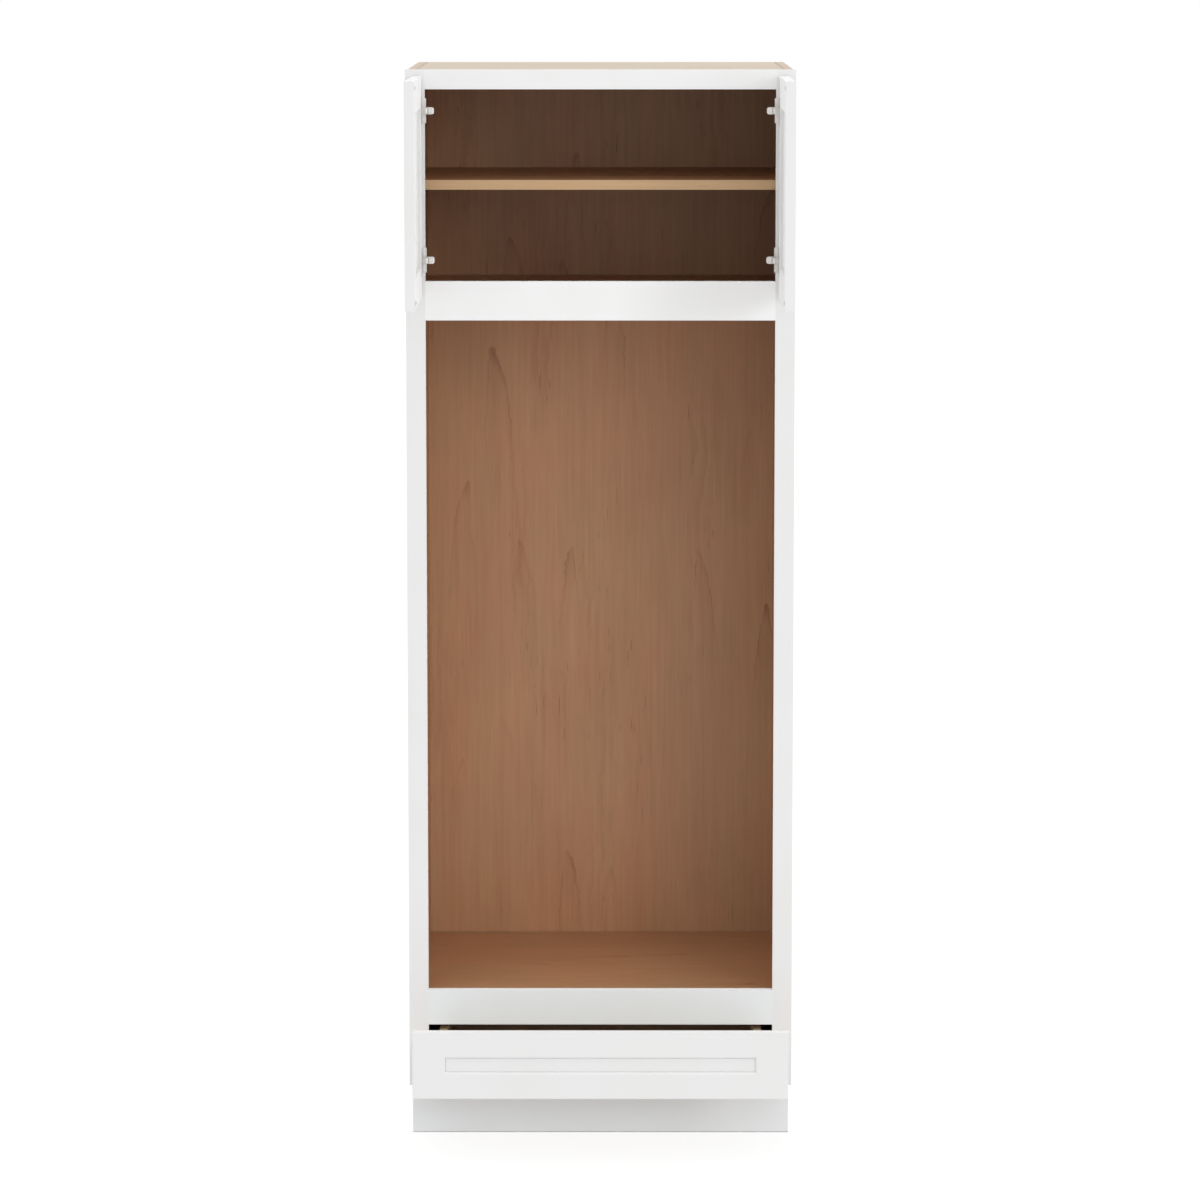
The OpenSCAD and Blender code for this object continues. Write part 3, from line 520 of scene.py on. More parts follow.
class Finish:
    """What every finish shares: a material with a Principled BSDF, and its graph."""

    name: str

    def material(self, effects: Effects) -> bpy.types.Material:
        """Makes the material. Each finish has its own way."""
        raise NotImplementedError

    def start(self) -> tuple[bpy.types.Material, ShaderGraph, bpy.types.Node, Socket]:
        """Makes the bare material.

        Returns:
            The material, its graph, its Principled BSDF and the Object coordinates.
        """
        material = bpy.data.materials.new(self.name)
        material.use_nodes = True
        tree = material.node_tree
        tree.nodes.clear()
        graph = ShaderGraph(tree)
        shader = graph.node("BsdfPrincipled")
        output = graph.node("OutputMaterial")
        tree.links.new(shader.outputs[0], output.inputs[0])
        return material, graph, shader, graph.node("TexCoord").outputs["Object"]

    @staticmethod
    def normals(graph: ShaderGraph) -> Sequence[Socket]:
        """Returns the three parts of the object's own normal."""
        return graph.axes(graph.node("TexCoord").outputs["Normal"])

    @staticmethod
    def bump(graph: ShaderGraph, shader: bpy.types.Node, height: Socket, distance: float,
             strength: float) -> None:
        """Adds a Bump node in front of the shader's Normal."""
        inputs = {"Height": height, "Distance": distance, "Strength": strength}
        graph.put(shader.inputs["Normal"], graph.node("Bump", inputs).outputs[0])

    @classmethod
    def joined(cls, graph: ShaderGraph, effects: Effects, place: Socket, colour: Socket,
               joints: Sequence[Joint]) -> Socket:
        """Draws the dark lines of joints over a colour.

        Args:
            graph: The material's graph.
            effects: The shared node groups.
            place: The Object coordinates.
            colour: The colour below the lines.
            joints: The lines.

        Returns:
            The colour with every line over it.
        """
        # Some of these lines are painted shade in corners and at the floor.
        for joint in joints:
            facing = cls.normals(graph)[joint.facing]
            facing = graph.product(facing, -1.0) if joint.front_only else graph.math("ABSOLUTE", facing)
            line = graph.group(effects.joint, {
                "Place": graph.axes(place)[joint.axis], "At": joint.place, "Width": joint.width,
                "Facing": facing, "Vector": place,
            }).outputs["Dark"]
            colour = graph.mix(graph.product(line, joint.depth), colour, JOINT_AND_PAINTED_SHADE_DARK)
        return colour


@dataclass(frozen=True)
class Timber(Finish):
    """Clear finished maple, as veneer on plywood or as solid board.

    Ring is the spacing of the growth rings, lines and arches are the strengths of those marks,
    and olive is how far the hue turns. Sheet is the thickness of a layer of the plywood, 0 on
    solid board. Towards +X the colour grows darker by a set share, from shade_from to shade_to:
    painted shade, where the right side panel would shade the inside of the cabinet.
    Farther than painted_beyond from the middle plane it is painted white, unless that is 0.
    """

    name: str
    cut: Cut
    pale: Colour
    dark: Colour
    olive: float = 0.024
    ring: float = 0.023
    lines: float = 1.0
    arches: float = 0.8
    seed: float = 0.0
    shift: Triple = (0.0, 0.0, 0.0)
    joints: tuple[Joint, ...] = ()
    painted_shade_right: float = 0.0
    shade_from: float = 0.02
    shade_to: float = 0.36
    painted_beyond: float = 0.0
    sheet: float = 0.0
    edge_pale: Colour = srgb(214, 190, 158)
    edge_dark: Colour = srgb(150, 112, 78)
    fleck_deep: float = 0.45
    fleck_share: float = 0.6
    roughness: float = 0.42
    coat: float = 0.12
    coat_roughness: float = 0.3
    fleck_rough: float = 0.2
    relief_rough: float = 0.08
    relief: float = 0.25 * MM
    relief_strength: float = 0.35

    def material(self, effects: Effects) -> bpy.types.Material:
        """Makes the material.

        Args:
            effects: The shared node groups.

        Returns:
            The material. Where sheet is above 0, faces that look along the cut's edges show plies.
        """
        material, graph, shader, place = self.start()
        parts = graph.axes(place)
        turned = graph.vector(*(parts[axis] for axis in self.cut.value))
        grain = graph.node("Mapping", {"Vector": turned, "Location": self.shift}).outputs[0]
        timber = graph.group(effects.timber, {
            "Grain": grain, "Ring": self.ring, "Lines": self.lines, "Arches": self.arches,
            "Seed": self.seed,
        })
        colour = self.figured(graph, timber)
        # Painted shade: darker towards +X, standing in for the right side panel's shade.
        if self.painted_shade_right:
            shade = graph.ramp(parts[Axis.X], self.shade_from, self.shade_to, 1.0, 1.0 - self.painted_shade_right)
            colour = graph.mix(1.0, colour, graph.vector(shade, shade, shade), "MULTIPLY")
        if self.sheet:
            facing = graph.math("ABSOLUTE", self.normals(graph)[self.cut.value[1]])
            edge = graph.math("LESS_THAN", facing, SQUARE_ON)
            plies = graph.group(effects.plies, {"Grain": grain, "Sheet": self.sheet}).outputs["Dark"]
            colour = graph.mix(edge, colour, graph.mix(plies, self.edge_pale, self.edge_dark))
        colour = self.joined(graph, effects, place, colour, self.joints)
        if self.painted_beyond:
            away = graph.math("ABSOLUTE", parts[Axis.X])
            outside = graph.math("GREATER_THAN", away, self.painted_beyond)
            colour = graph.mix(outside, colour, PAINT_WHITE)
        graph.put(shader.inputs["Base Color"], colour)
        rough = graph.scaled(timber.outputs["Fleck"], self.fleck_rough, self.roughness)
        rough = graph.scaled(timber.outputs["Relief"], self.relief_rough, rough)
        graph.put(shader.inputs["Roughness"], rough)
        graph.put(shader.inputs["Coat Weight"], self.coat)
        graph.put(shader.inputs["Coat Roughness"], self.coat_roughness)
        self.bump(graph, shader, timber.outputs["Relief"], self.relief, self.relief_strength)
        return material

    def figured(self, graph: ShaderGraph, timber: bpy.types.Node) -> Socket:
        """Colours the figure.

        Args:
            graph: The material's graph.
            timber: The figure's node group, placed.

        Returns:
            The pale colour, deepened by the tone, turned rosy or olive by the hue, with flecks.
        """
        deepest = tuple(p + (d - p) * TONE_TOP for p, d in zip(self.pale, self.dark))
        colour = graph.mix(graph.math("DIVIDE", timber.outputs["Tone"], TONE_TOP), self.pale, deepest)
        turns = (self.olive, self.olive * -0.4, self.olive * -0.3)
        rosy, green = tuple(1.0 + turn for turn in turns), tuple(1.0 - turn for turn in turns)
        colour = graph.mix(1.0, colour, graph.mix(timber.outputs["Hue"], rosy, green), "MULTIPLY")
        fleck = tuple(c * self.fleck_deep for c in self.dark)
        return graph.mix(graph.product(timber.outputs["Fleck"], self.fleck_share), colour, fleck)


@dataclass(frozen=True)
class Paint(Finish):
    """Matt white sprayed paint on timber.

    Along holds the scales of its faint lines, warm_share is how far its clouds turn to the warm
    colour, and the colour for faces that look inwards, where given, is painted light: a lighter
    white.
    """

    name: str
    colour: Colour
    along: Triple
    warm: Colour = srgb(237, 236, 233)
    warm_share: float = 0.22
    joints: tuple[Joint, ...] = ()
    inner_painted_light: Colour | None = None
    cloud: float = 5.0
    cloud_ramp: Ramp = (0.35, 0.75)
    roughness: float = 0.75
    rough_spread: float = 0.1
    diffuse_roughness: float = 1.0
    gloss: float = 0.08
    skin: float = 0.1 * MM
    skin_strength: float = 0.12

    def material(self, effects: Effects) -> bpy.types.Material:
        """Makes the material.

        Args:
            effects: The shared node groups.

        Returns:
            The material, whose faint lines run along the axis with the smallest scale. Where an
            inward colour is given, faces that look towards the cabinet's middle plane have that
            colour, as painted light.
        """
        material, graph, shader, place = self.start()
        cloud = graph.group(effects.mottle, {"Vector": place, "Coarse": self.cloud}).outputs["Cloud"]
        colour = self.colour
        # Painted light: faces that look inwards get a lighter white.
        if self.inner_painted_light:
            side = graph.math("SIGN", graph.axes(place)[Axis.X])
            outwards = graph.product(side, self.normals(graph)[Axis.X])
            inwards = graph.math("LESS_THAN", outwards, -SQUARE_ON)
            colour = graph.mix(inwards, colour, self.inner_painted_light)
        tint = graph.product(graph.ramp(cloud, *self.cloud_ramp), self.warm_share)
        colour = self.joined(graph, effects, place, graph.mix(tint, colour, self.warm), self.joints)
        graph.put(shader.inputs["Base Color"], colour)
        rough = graph.scaled(cloud, self.rough_spread, self.roughness - self.rough_spread / 2)
        graph.put(shader.inputs["Roughness"], rough)
        graph.put(shader.inputs["Specular IOR Level"], self.gloss)
        graph.put(shader.inputs["Diffuse Roughness"], self.diffuse_roughness)
        inputs = {0: place, 1: self.along}
        drawn = graph.node("VectorMath", inputs, operation="MULTIPLY").outputs[0]
        skin = graph.group(effects.peel, {"Vector": place, "Lines": drawn})
        self.bump(graph, shader, skin.outputs["Height"], self.skin, self.skin_strength)
        return material


@dataclass(frozen=True)
class Plating(Finish):
    """Plated steel, with the fine lines of rolled sheet and a little uneven tone."""

    name: str
    colour: Colour
    tarnish: Colour
    tarnish_share: float = 0.5
    rolled: Triple = (40.0, 900.0, 900.0)
    cloud: float = 60.0
    cloud_ramp: Ramp = (0.35, 0.7)
    speck: float = 900.0
    roughness: float = 0.3
    speck_rough: float = 0.12
    line_rough: float = 0.08
    metallic: float = 1.0
    relief: float = 0.05 * MM
    relief_strength: float = 0.3

    def material(self, effects: Effects) -> bpy.types.Material:
        """Makes the material.

        Args:
            effects: The shared node groups.

        Returns:
            The material.
        """
        material, graph, shader, place = self.start()
        mottle = graph.group(effects.mottle, {"Vector": place, "Coarse": self.cloud, "Fine": self.speck})
        cloud = graph.product(graph.ramp(mottle.outputs["Cloud"], *self.cloud_ramp), self.tarnish_share)
        graph.put(shader.inputs["Base Color"], graph.mix(cloud, self.colour, self.tarnish))
        graph.put(shader.inputs["Metallic"], self.metallic)
        lines = graph.drawn_noise(place, self.rolled)
        least = self.roughness - self.speck_rough / 2
        rough = graph.scaled(mottle.outputs["Speck"], self.speck_rough, least)
        graph.put(shader.inputs["Roughness"], graph.scaled(lines, self.line_rough, rough))
        self.bump(graph, shader, lines, self.relief, self.relief_strength)
        return material


@dataclass(frozen=True)
class Moulding(Finish):
    """Moulded plastic or rubber, with a fine spark grain."""

    name: str
    colour: Colour
    roughness: float
    dull_share: float = 0.8
    cloud: float = 30.0
    grain: float = 1400.0
    speck_rough: float = 0.15
    transmission: float = 0.0
    ior: float = 1.48
    relief: float = 0.06 * MM
    relief_strength: float = 0.4

    def material(self, effects: Effects) -> bpy.types.Material:
        """Makes the material.

        Args:
            effects: The shared node groups.

        Returns:
            The material.
        """
        material, graph, shader, place = self.start()
        mottle = graph.group(effects.mottle, {"Vector": place, "Coarse": self.cloud, "Fine": self.grain})
        dull = tuple(c * self.dull_share for c in self.colour)
        graph.put(shader.inputs["Base Color"], graph.mix(mottle.outputs["Cloud"], self.colour, dull))
        rough = graph.scaled(mottle.outputs["Speck"], self.speck_rough, self.roughness)
        graph.put(shader.inputs["Roughness"], rough)
        graph.put(shader.inputs["Transmission Weight"], self.transmission)
        graph.put(shader.inputs["IOR"], self.ior)
        self.bump(graph, shader, mottle.outputs["Speck"], self.relief, self.relief_strength)
        return material


def dress(node: str, material: bpy.types.Material) -> None:
    """Gives a CAD node one material and reports it.

    Args:
        node: The node's name.
        material: Its finish.
    """
    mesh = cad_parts[node].data
    mesh.materials.clear()
    mesh.materials.append(material)
    log.info("%s wears %s", node, material.name)


def solids_of(node: str) -> list[tuple[np.ndarray, np.ndarray]]:
    """Finds the separate solids in a CAD node.

    Corners at one place count as one. Each takes the lowest number among the corners of its
    triangles, again and again, until nothing changes, so each solid ends with one number.

    Args:
        node: The node's name.

    Returns:
        The lowest and highest corner of each solid.
    """
    one_place = 0.01 * MM
    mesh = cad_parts[node].data
    places = np.empty(len(mesh.vertices) * 3, np.float32)
    mesh.vertices.foreach_get("co", places)
    places = places.reshape(-1, 3).astype(float)
    _, same = np.unique(np.round(places / one_place).astype(int), axis=0, return_inverse=True)
    mesh.calc_loop_triangles()
    corners = np.empty(len(mesh.loop_triangles) * 3, np.int32)
    mesh.loop_triangles.foreach_get("vertices", corners)
    corners = same.ravel()[corners].reshape(-1, 3)
    label = np.arange(corners.max() + 1)
    while True:
        lowest = label[corners].min(axis=1)
        update = label.copy()
        for side in range(3):
            np.minimum.at(update, corners[:, side], lowest)
        if np.array_equal(update, label):
            break
        label = update
    owner = label[same.ravel()]
    return [(places[owner == n].min(axis=0), places[owner == n].max(axis=0)) for n in np.unique(owner)]


def closed_surface(rings: np.ndarray, start: np.ndarray, end: np.ndarray) -> Skin:
    """Joins rings of points into a closed skin with a pole at each end.

    Args:
        rings: Points, rings by places round a ring by 3.
        start: The pole before the first ring.
        end: The pole after the last ring.

    Returns:
        The points and the faces.
    """
    count, around, _ = rings.shape
    points = np.concatenate([[start], rings.reshape(-1, 3), [end]])
    here = np.arange(around)
    after = (here + 1) % around
    first = 1 + np.arange(count - 1)[:, None] * around
    quads = np.stack([first + here, first + after, first + around + after, first + around + here], axis=-1)
    last = 1 + (count - 1) * around
    faces = [(0, int(b), int(a)) for a, b in zip(1 + here, 1 + after)]
    faces += [tuple(int(i) for i in quad) for quad in quads.reshape(-1, 4)]
    faces += [(len(points) - 1, int(a), int(b)) for a, b in zip(last + here, last + after)]
    return points, faces


def add_piece(name: str, parts: list[Skin], material: bpy.types.Material, body: str,
              replaces: Sequence[str] = ()) -> bpy.types.Object:
    """Makes one object of several closed skins and puts it on its body.

    Args:
        name: The piece's name.
        parts: Points and faces of each skin, in the frame's own metres.
        material: The finish.
        body: The CAD body that it rides on.
        replaces: The CAD nodes that it stands for.

    Returns:
        The object.
    """
    points = np.concatenate([p for p, _ in parts])
    starts = np.cumsum([0] + [len(p) for p, _ in parts[:-1]])
    faces = [tuple(i + int(first) for i in face) for first, (_, skin) in zip(starts, parts) for face in skin]
    mesh = bpy.data.meshes.new(name)
    mesh.from_pydata(points.tolist(), [], faces)
    mesh.polygons.foreach_set("use_smooth", np.ones(len(mesh.polygons), bool))
    mesh.materials.append(material)
    mesh.update()
    piece = bpy.data.objects.new(name, mesh)
    bpy.context.scene.collection.objects.link(piece)
    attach(piece, body)
    if replaces:
        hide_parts(*replaces)
    log.info("%s: %d faces on %s", name, len(mesh.polygons), body)
    return piece


@dataclass
class CrossScrew:
    """A screw with a cross recess in its head.

    Shares are of the head's radius or height, and those of the tip of the shank's radius. The
    recess is cut only into what stands higher than over_seat.
    """

    head_radius: float
    head_height: float
    dome: float
    shank_radius: float
    length: float = 0.0
    around: int = 48
    top_from: float = 0.06
    top_to: float = 0.93
    top_rings: int = 14
    rim_share: float = 0.12
    rim_from: float = 0.3
    rim_rings: int = 4
    tip_share: float = 1.6
    tip_waist: float = 0.5
    tip_end: float = 0.08
    edge: float = 0.02 * MM
    over_seat: float = 0.05 * MM
    slot_half: float = 0.2
    slot_reach: float = 0.62
    slot_depth: float = 0.62
    slot_soft: float = 0.12

    def profile(self) -> np.ndarray:
        """The half outline from the top of the head to the tip: radius, and height over the seat.

        Returns:
            Points by 2. The dome is dome * (1 - (r / R)^2) over the straight side of the head,
            and its rim a quarter round.
        """
        rounded = self.rim_share * self.head_height
        side = self.head_height - self.dome - rounded
        top = np.linspace(self.top_from, self.top_to, self.top_rings) * self.head_radius
        height = side + rounded + self.dome * (1 - (top / self.head_radius) ** 2)
        turn = np.linspace(self.rim_from, 1.0, self.rim_rings) * math.pi / 2
        rim = np.stack([
            self.head_radius - rounded * (1 - np.sin(turn)),
            side + rounded * np.cos(turn),
        ], axis=1)
        tip = self.length - self.shank_radius * self.tip_share
        below = np.array([
            [self.head_radius, self.edge], [self.head_radius - self.edge, 0.0],
            [self.shank_radius + self.edge, 0.0], [self.shank_radius, -self.edge],
            [self.shank_radius, -tip],
            [self.shank_radius * self.tip_waist, -tip - self.shank_radius],
            [self.shank_radius * self.tip_end, -self.length + self.edge / 2],
        ])
        return np.concatenate([np.stack([top, height], axis=1), rim, below])

    def skin(self, seat: np.ndarray, outward: np.ndarray) -> Skin:
        """The screw as one closed skin.

        The outline turns about the axis. On the head the height drops by the recess, whose depth
        is D * S((a - min(|x|, |y|)) / e) * S((L - max(|x|, |y|)) / e) with S a clipped smooth step.

        Args:
            seat: The middle of the face under the head.
            outward: The level unit direction from the seat out of the head.

        Returns:
            The points and faces.
        """
        outline = self.profile()
        angle = np.linspace(0, 2 * math.pi, self.around, endpoint=False)
        x = outline[:, :1] * np.cos(angle)
        y = outline[:, :1] * np.sin(angle)
        z = np.repeat(outline[:, 1:], self.around, axis=1)
        soft = self.slot_soft * self.head_radius

        def step(t: np.ndarray) -> np.ndarray:
            """A smooth step from 0 to 1."""
            t = np.clip(t / soft, 0, 1)
            return t * t * (3 - 2 * t)

        near = np.minimum(np.abs(x), np.abs(y))
        far = np.maximum(np.abs(x), np.abs(y))
        recess = step(self.slot_half * self.head_radius - near)
        recess = recess * step(self.slot_reach * self.head_radius - far)
        on_head = z > self.over_seat
        z = z - on_head * recess * self.slot_depth * self.head_height
        start = np.array([0, 0, z[0].min()])
        end = np.array([0, 0, -self.length])
        across = np.cross(outward, [0.0, 0.0, 1.0])
        turn = np.stack([across, np.cross(outward, across), outward])
        points, faces = closed_surface(np.stack([x, y, z], axis=-1), start, end)
        return points @ turn + seat, faces


@dataclass
class HingeLips:
    """The lips of the hinge plates, which lap over the front of each stile.

    The CAD's plates reach lip_in past the stile's edge, and the lips start at that edge.
    """

    nickel: bpy.types.Material
    width: float = 6.4 * MM
    lip_in: float = 1.8 * MM
    thickness: float = 1.4 * MM
    corner: float = 2.6 * MM
    crown: float = 0.9 * MM
    around: int = 64
    rings: int = 9

    def skin(self, middle: np.ndarray, height: float) -> Skin:
        """One lip as a closed pad with a rolled edge.

        The outline is a rectangle with round corners. Ring t, from 0 at the stile to 1 at the
        front, lies inside it by c * (1 - cos(a)) and stands out by (T - c) + c * sin(a), with a
        from 0 to a right angle: a straight side of T - c and a quarter round of radius c.

        Args:
            middle: The middle of its face on the stile.
            height: Its height.

        Returns:
            The points and faces.
        """
        angle = np.linspace(0, 2 * math.pi, self.around, endpoint=False) + math.pi / self.around
        turn = np.concatenate([[0.0], np.linspace(0, math.pi / 2, self.rings)])
        inset = self.crown * (1 - np.cos(turn))
        out = self.thickness - self.crown + self.crown * np.sin(turn)
        out[0] = 0.0
        radius = self.corner - inset[:, None]
        x = np.sign(np.cos(angle)) * (self.width / 2 - self.corner) + radius * np.cos(angle)
        z = np.sign(np.sin(angle)) * (height / 2 - self.corner) + radius * np.sin(angle)
        y = np.repeat(-out[:, None], self.around, axis=1)
        rings = np.stack([x, y, z], axis=-1) + middle
        return closed_surface(rings, middle, middle - np.array([0.0, self.thickness, 0.0]))

    def build(self) -> None:
        """Sets a lip against each plate, on the side away from the opening."""
        parts = []
        stile_front = float(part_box("frame_stile_left")[0].y)
        for low, high in solids_of("hinge_plates"):
            side = np.sign(low[0] + high[0])
            edge = max(abs(low[0]), abs(high[0])) - self.lip_in
            middle = np.array([side * (edge + self.width / 2), stile_front, (low[2] + high[2]) / 2])
            parts.append(self.skin(middle, high[2] - low[2]))
        add_piece("hinge_plate_lips", parts, self.nickel, "carcass")


@dataclass
class Carcass:
    """Sides, top, decks, back, nailers, toe rail and shelf."""

    wood: dict[str, bpy.types.Material]

    def dress(self) -> None:
        """Gives each board the cut that it has."""
        for node, wood in {
            "side_panel_left": "veneer_side_left", "side_panel_right": "veneer_side_right",
            "back_panel": "veneer_back", "upper_deck": "veneer_deck", "oven_deck": "veneer_deck",
            "bottom_panel": "veneer_deck", "adjustable_shelf": "veneer_shelf", "top_panel": "pale_top",
            "wall_nailers": "maple_rail", "toe_rail": "maple_rail", "oven_deck_cleats": "maple_back",
            "shelf_edge_band": "maple_band",
        }.items():
            dress(node, self.wood[wood])


@dataclass
class Fasteners:
    """Every screw head that can be seen, with its cross recess."""

    zinc: bpy.types.Material

    def add(self, node: str, body: str, axis: Axis, head: CrossScrew) -> None:
        """Stands a screw in the place of each solid of a node.

        Args:
            node: The CAD node of plain screws.
            body: The body that carries them.
            axis: The axis that they lie along, X or Y.
            head: The screw. Its length under the head is worked out from each solid.
        """
        parts = []
        for low, high in solids_of(node):
            seat = (low + high) / 2
            outward = np.zeros(3)
            outward[axis] = -np.sign(seat[0]) if axis is Axis.X else 1.0
            reach = (high - low)[axis]
            head.length = reach - head.head_height
            seat[axis] = seat[axis] + outward[axis] * (reach / 2 - head.head_height)
            parts.append(head.skin(seat, outward))
        add_piece(node + "_crossed", parts, self.zinc, body, [node])

    def build(self) -> None:
        """Builds the four sets."""
        plate = CrossScrew(head_radius=3.4 * MM, head_height=1.5 * MM, dome=0.1 * MM, shank_radius=1.8 * MM)
        cup = CrossScrew(head_radius=3.2 * MM, head_height=1.0 * MM, dome=0.08 * MM, shank_radius=1.75 * MM)
        front = CrossScrew(head_radius=3.5 * MM, head_height=2.0 * MM, dome=0.9 * MM, shank_radius=1.75 * MM)
        self.add("hinge_plate_screws", "carcass", Axis.X, plate)
        self.add("left_cup_screws", "left_door", Axis.X, cup)
        self.add("right_cup_screws", "right_door", Axis.X, cup)
        self.add("drawer_front_screws", "drawer", Axis.Y, front)


@dataclass
class Painted:
    """Face frame, toe kick, doors and drawer front."""

    look: dict[str, bpy.types.Material]

    # Painted light: the top and middle rails a lighter white, as if lit more from above; the lower rail and
    # toe kick a cooler white against the warm light off the drawer box.
    PAINTED_LIGHT_TONES = {
        "frame_rail_top": "paint_head_painted_light", "frame_rail_middle": "paint_middle_painted_light",
        "frame_rail_lower": "paint_lower_painted_light", "toe_kick_skin": "paint_toe_painted_light",
    }

    def dress(self) -> None:
        """Runs the paint's faint lines along each member."""
        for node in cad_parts:
            paint = "paint_door_" if "_door_" in node else "paint_"
            if node in self.PAINTED_LIGHT_TONES:
                dress(node, self.look[self.PAINTED_LIGHT_TONES[node]])
            elif "stile" in node:
                dress(node, self.look[paint + "upright"])
            elif "_rail" in node and "toe" not in node:
                dress(node, self.look[paint + "level"])
            elif node.endswith(("door_panel", "front_panel")):
                dress(node, self.look[paint + "panel"])


@dataclass
class Hardware:
    """Hinges, shelf pins and bumpers."""

    nickel: bpy.types.Material
    zinc: bpy.types.Material
    rubber: bpy.types.Material

    def dress(self) -> None:
        """Plates the metal and clears the rubber."""
        for node in ("hinge_plates", "hinge_arms", "left_hinge_cups", "right_hinge_cups", "shelf_pins"):
            dress(node, self.nickel)
        for node in ("left_hinge_pins", "right_hinge_pins"):
            dress(node, self.zinc)
        for node in ("left_door_bumpers", "right_door_bumpers", "drawer_bumpers"):
            dress(node, self.rubber)


@dataclass
class Drawer:
    """Dovetailed box, its slides and clips."""

    wood: dict[str, bpy.types.Material]
    zinc: bpy.types.Material
    plastic: bpy.types.Material

    def dress(self) -> None:
        """Gives the box its boards' cuts and the slides their metal."""
        for node in ("drawer_box_side_left", "drawer_box_side_right"):
            dress(node, self.wood["maple_side"])
        for node in ("drawer_box_front", "drawer_box_back"):
            dress(node, self.wood["maple_rail"])
        dress("drawer_box_bottom", self.wood["drawer_ply"])
        for node in ("slide_fixed_members", "slide_middle_member_left", "slide_middle_member_right",
                     "slide_drawer_members"):
            dress(node, self.zinc)
        for node in ("slide_rear_brackets", "drawer_lock_clips"):
            dress(node, self.plastic)


@dataclass
class Studio:
    """Camera, floor, world and lamp.

    For the floor, seen is what the camera meets and bounce what lights the cabinet. A share is
    that of its glow beside its plain colour.
    """

    camera_place: Triple = (0.019, -10.4646, 2.388)
    tilt: float = 0.13072
    pan: float = 0.00201
    lens: float = 151.1
    sensor: float = 36.0
    sight: float = 200.0
    floor_half: float = 30.0
    ambient: float = 0.79
    ambient_lean: float = -0.04
    ambient_lift: float = 0.34
    floor_seen: float = 1.0
    floor_bounce: float = 0.85
    glow_seen: float = 1.05
    glow_bounce: float = 0.81
    share_seen: float = 0.8
    share_bounce: float = 0.7
    key_place: Triple = (5.0, -8.0, 3.4)
    key_aim: Triple = (0.0, -0.3, 1.2)
    key_size: float = 2.5
    key_power: float = 98.0

    def camera(self) -> None:
        """Stands the camera where the photograph was taken from, tilted down at the cabinet."""
        data = bpy.data.cameras.new("camera")
        data.lens = self.lens
        data.sensor_width = self.sensor
        data.clip_end = self.sight
        camera = bpy.data.objects.new("camera", data)
        camera.location = self.camera_place
        camera.rotation_euler = (math.pi / 2 - self.tilt, 0.0, self.pan)
        bpy.context.scene.collection.objects.link(camera)
        bpy.context.scene.camera = camera

    def floor(self) -> None:
        """Lays a pale floor that looks white and keeps the shadow."""
        half = self.floor_half
        corners = [(-half, -half, 0), (half, -half, 0), (half, half, 0), (-half, half, 0)]
        mesh = bpy.data.meshes.new("floor")
        mesh.from_pydata(corners, [], [(0, 1, 2, 3)])
        material = bpy.data.materials.new("floor_white")
        material.use_nodes = True
        tree = material.node_tree
        tree.nodes.clear()
        graph = ShaderGraph(tree)
        seen = graph.node("LightPath").outputs["Is Camera Ray"]
        colour = graph.mix(seen, (self.floor_bounce,) * 3, (self.floor_seen,) * 3)
        diffuse = graph.node("BsdfDiffuse", {"Color": colour})
        glow = graph.scaled(seen, self.glow_seen - self.glow_bounce, self.glow_bounce)
        emission = graph.node("Emission", {"Color": WHITE, "Strength": glow})
        share = graph.scaled(seen, self.share_seen - self.share_bounce, self.share_bounce)
        mixed = graph.node("MixShader", {0: share, 1: diffuse.outputs[0], 2: emission.outputs[0]})
        tree.links.new(mixed.outputs[0], graph.node("OutputMaterial").inputs[0])
        mesh.materials.append(material)
        floor = bpy.data.objects.new("floor", mesh)
        bpy.context.scene.collection.objects.link(floor)

    def world(self) -> None:
        """Lights the room evenly. The camera, gloss and glass see white."""
        world = bpy.data.worlds.new("world")
        bpy.context.scene.world = world
        world.use_nodes = True
        tree = world.node_tree
        tree.nodes.clear()
        graph = ShaderGraph(tree)
        rays = graph.node("LightPath").outputs
        seen = graph.math("MAXIMUM", rays["Is Camera Ray"], rays["Is Glossy Ray"])
        seen = graph.math("MAXIMUM", seen, rays["Is Transmission Ray"])
        towards = graph.axes(graph.node("TexCoord").outputs["Generated"])
        soft = graph.scaled(towards[0], self.ambient_lean, self.ambient)
        soft = graph.scaled(towards[2], self.ambient_lift, soft)
        strength = graph.node("Mix", {0: seen, 2: soft, 3: 1.0}, data_type="FLOAT").outputs[0]
        background = graph.node("Background", {"Color": WHITE, "Strength": strength})
        tree.links.new(background.outputs[0], graph.node("OutputWorld").inputs[0])

    def lamp(self) -> None:
        """Hangs the soft square lamp, turned from straight down to face its aim."""
        data = bpy.data.lights.new("key", "AREA")
        data.size = self.key_size
        data.energy = self.key_power
        lamp = bpy.data.objects.new("key", data)
        lamp.location = self.key_place
        ahead = np.subtract(self.key_aim, self.key_place)
        ahead = ahead / np.linalg.norm(ahead)
        lamp.rotation_euler = (math.acos(-ahead[2]), 0.0, math.atan2(-ahead[0], ahead[1]))
        bpy.context.scene.collection.objects.link(lamp)

    def build(self) -> None:
        """Sets up the whole studio."""
        bpy.context.scene.view_settings.view_transform = "Standard"
        self.camera()
        self.floor()
        self.world()
        self.lamp()


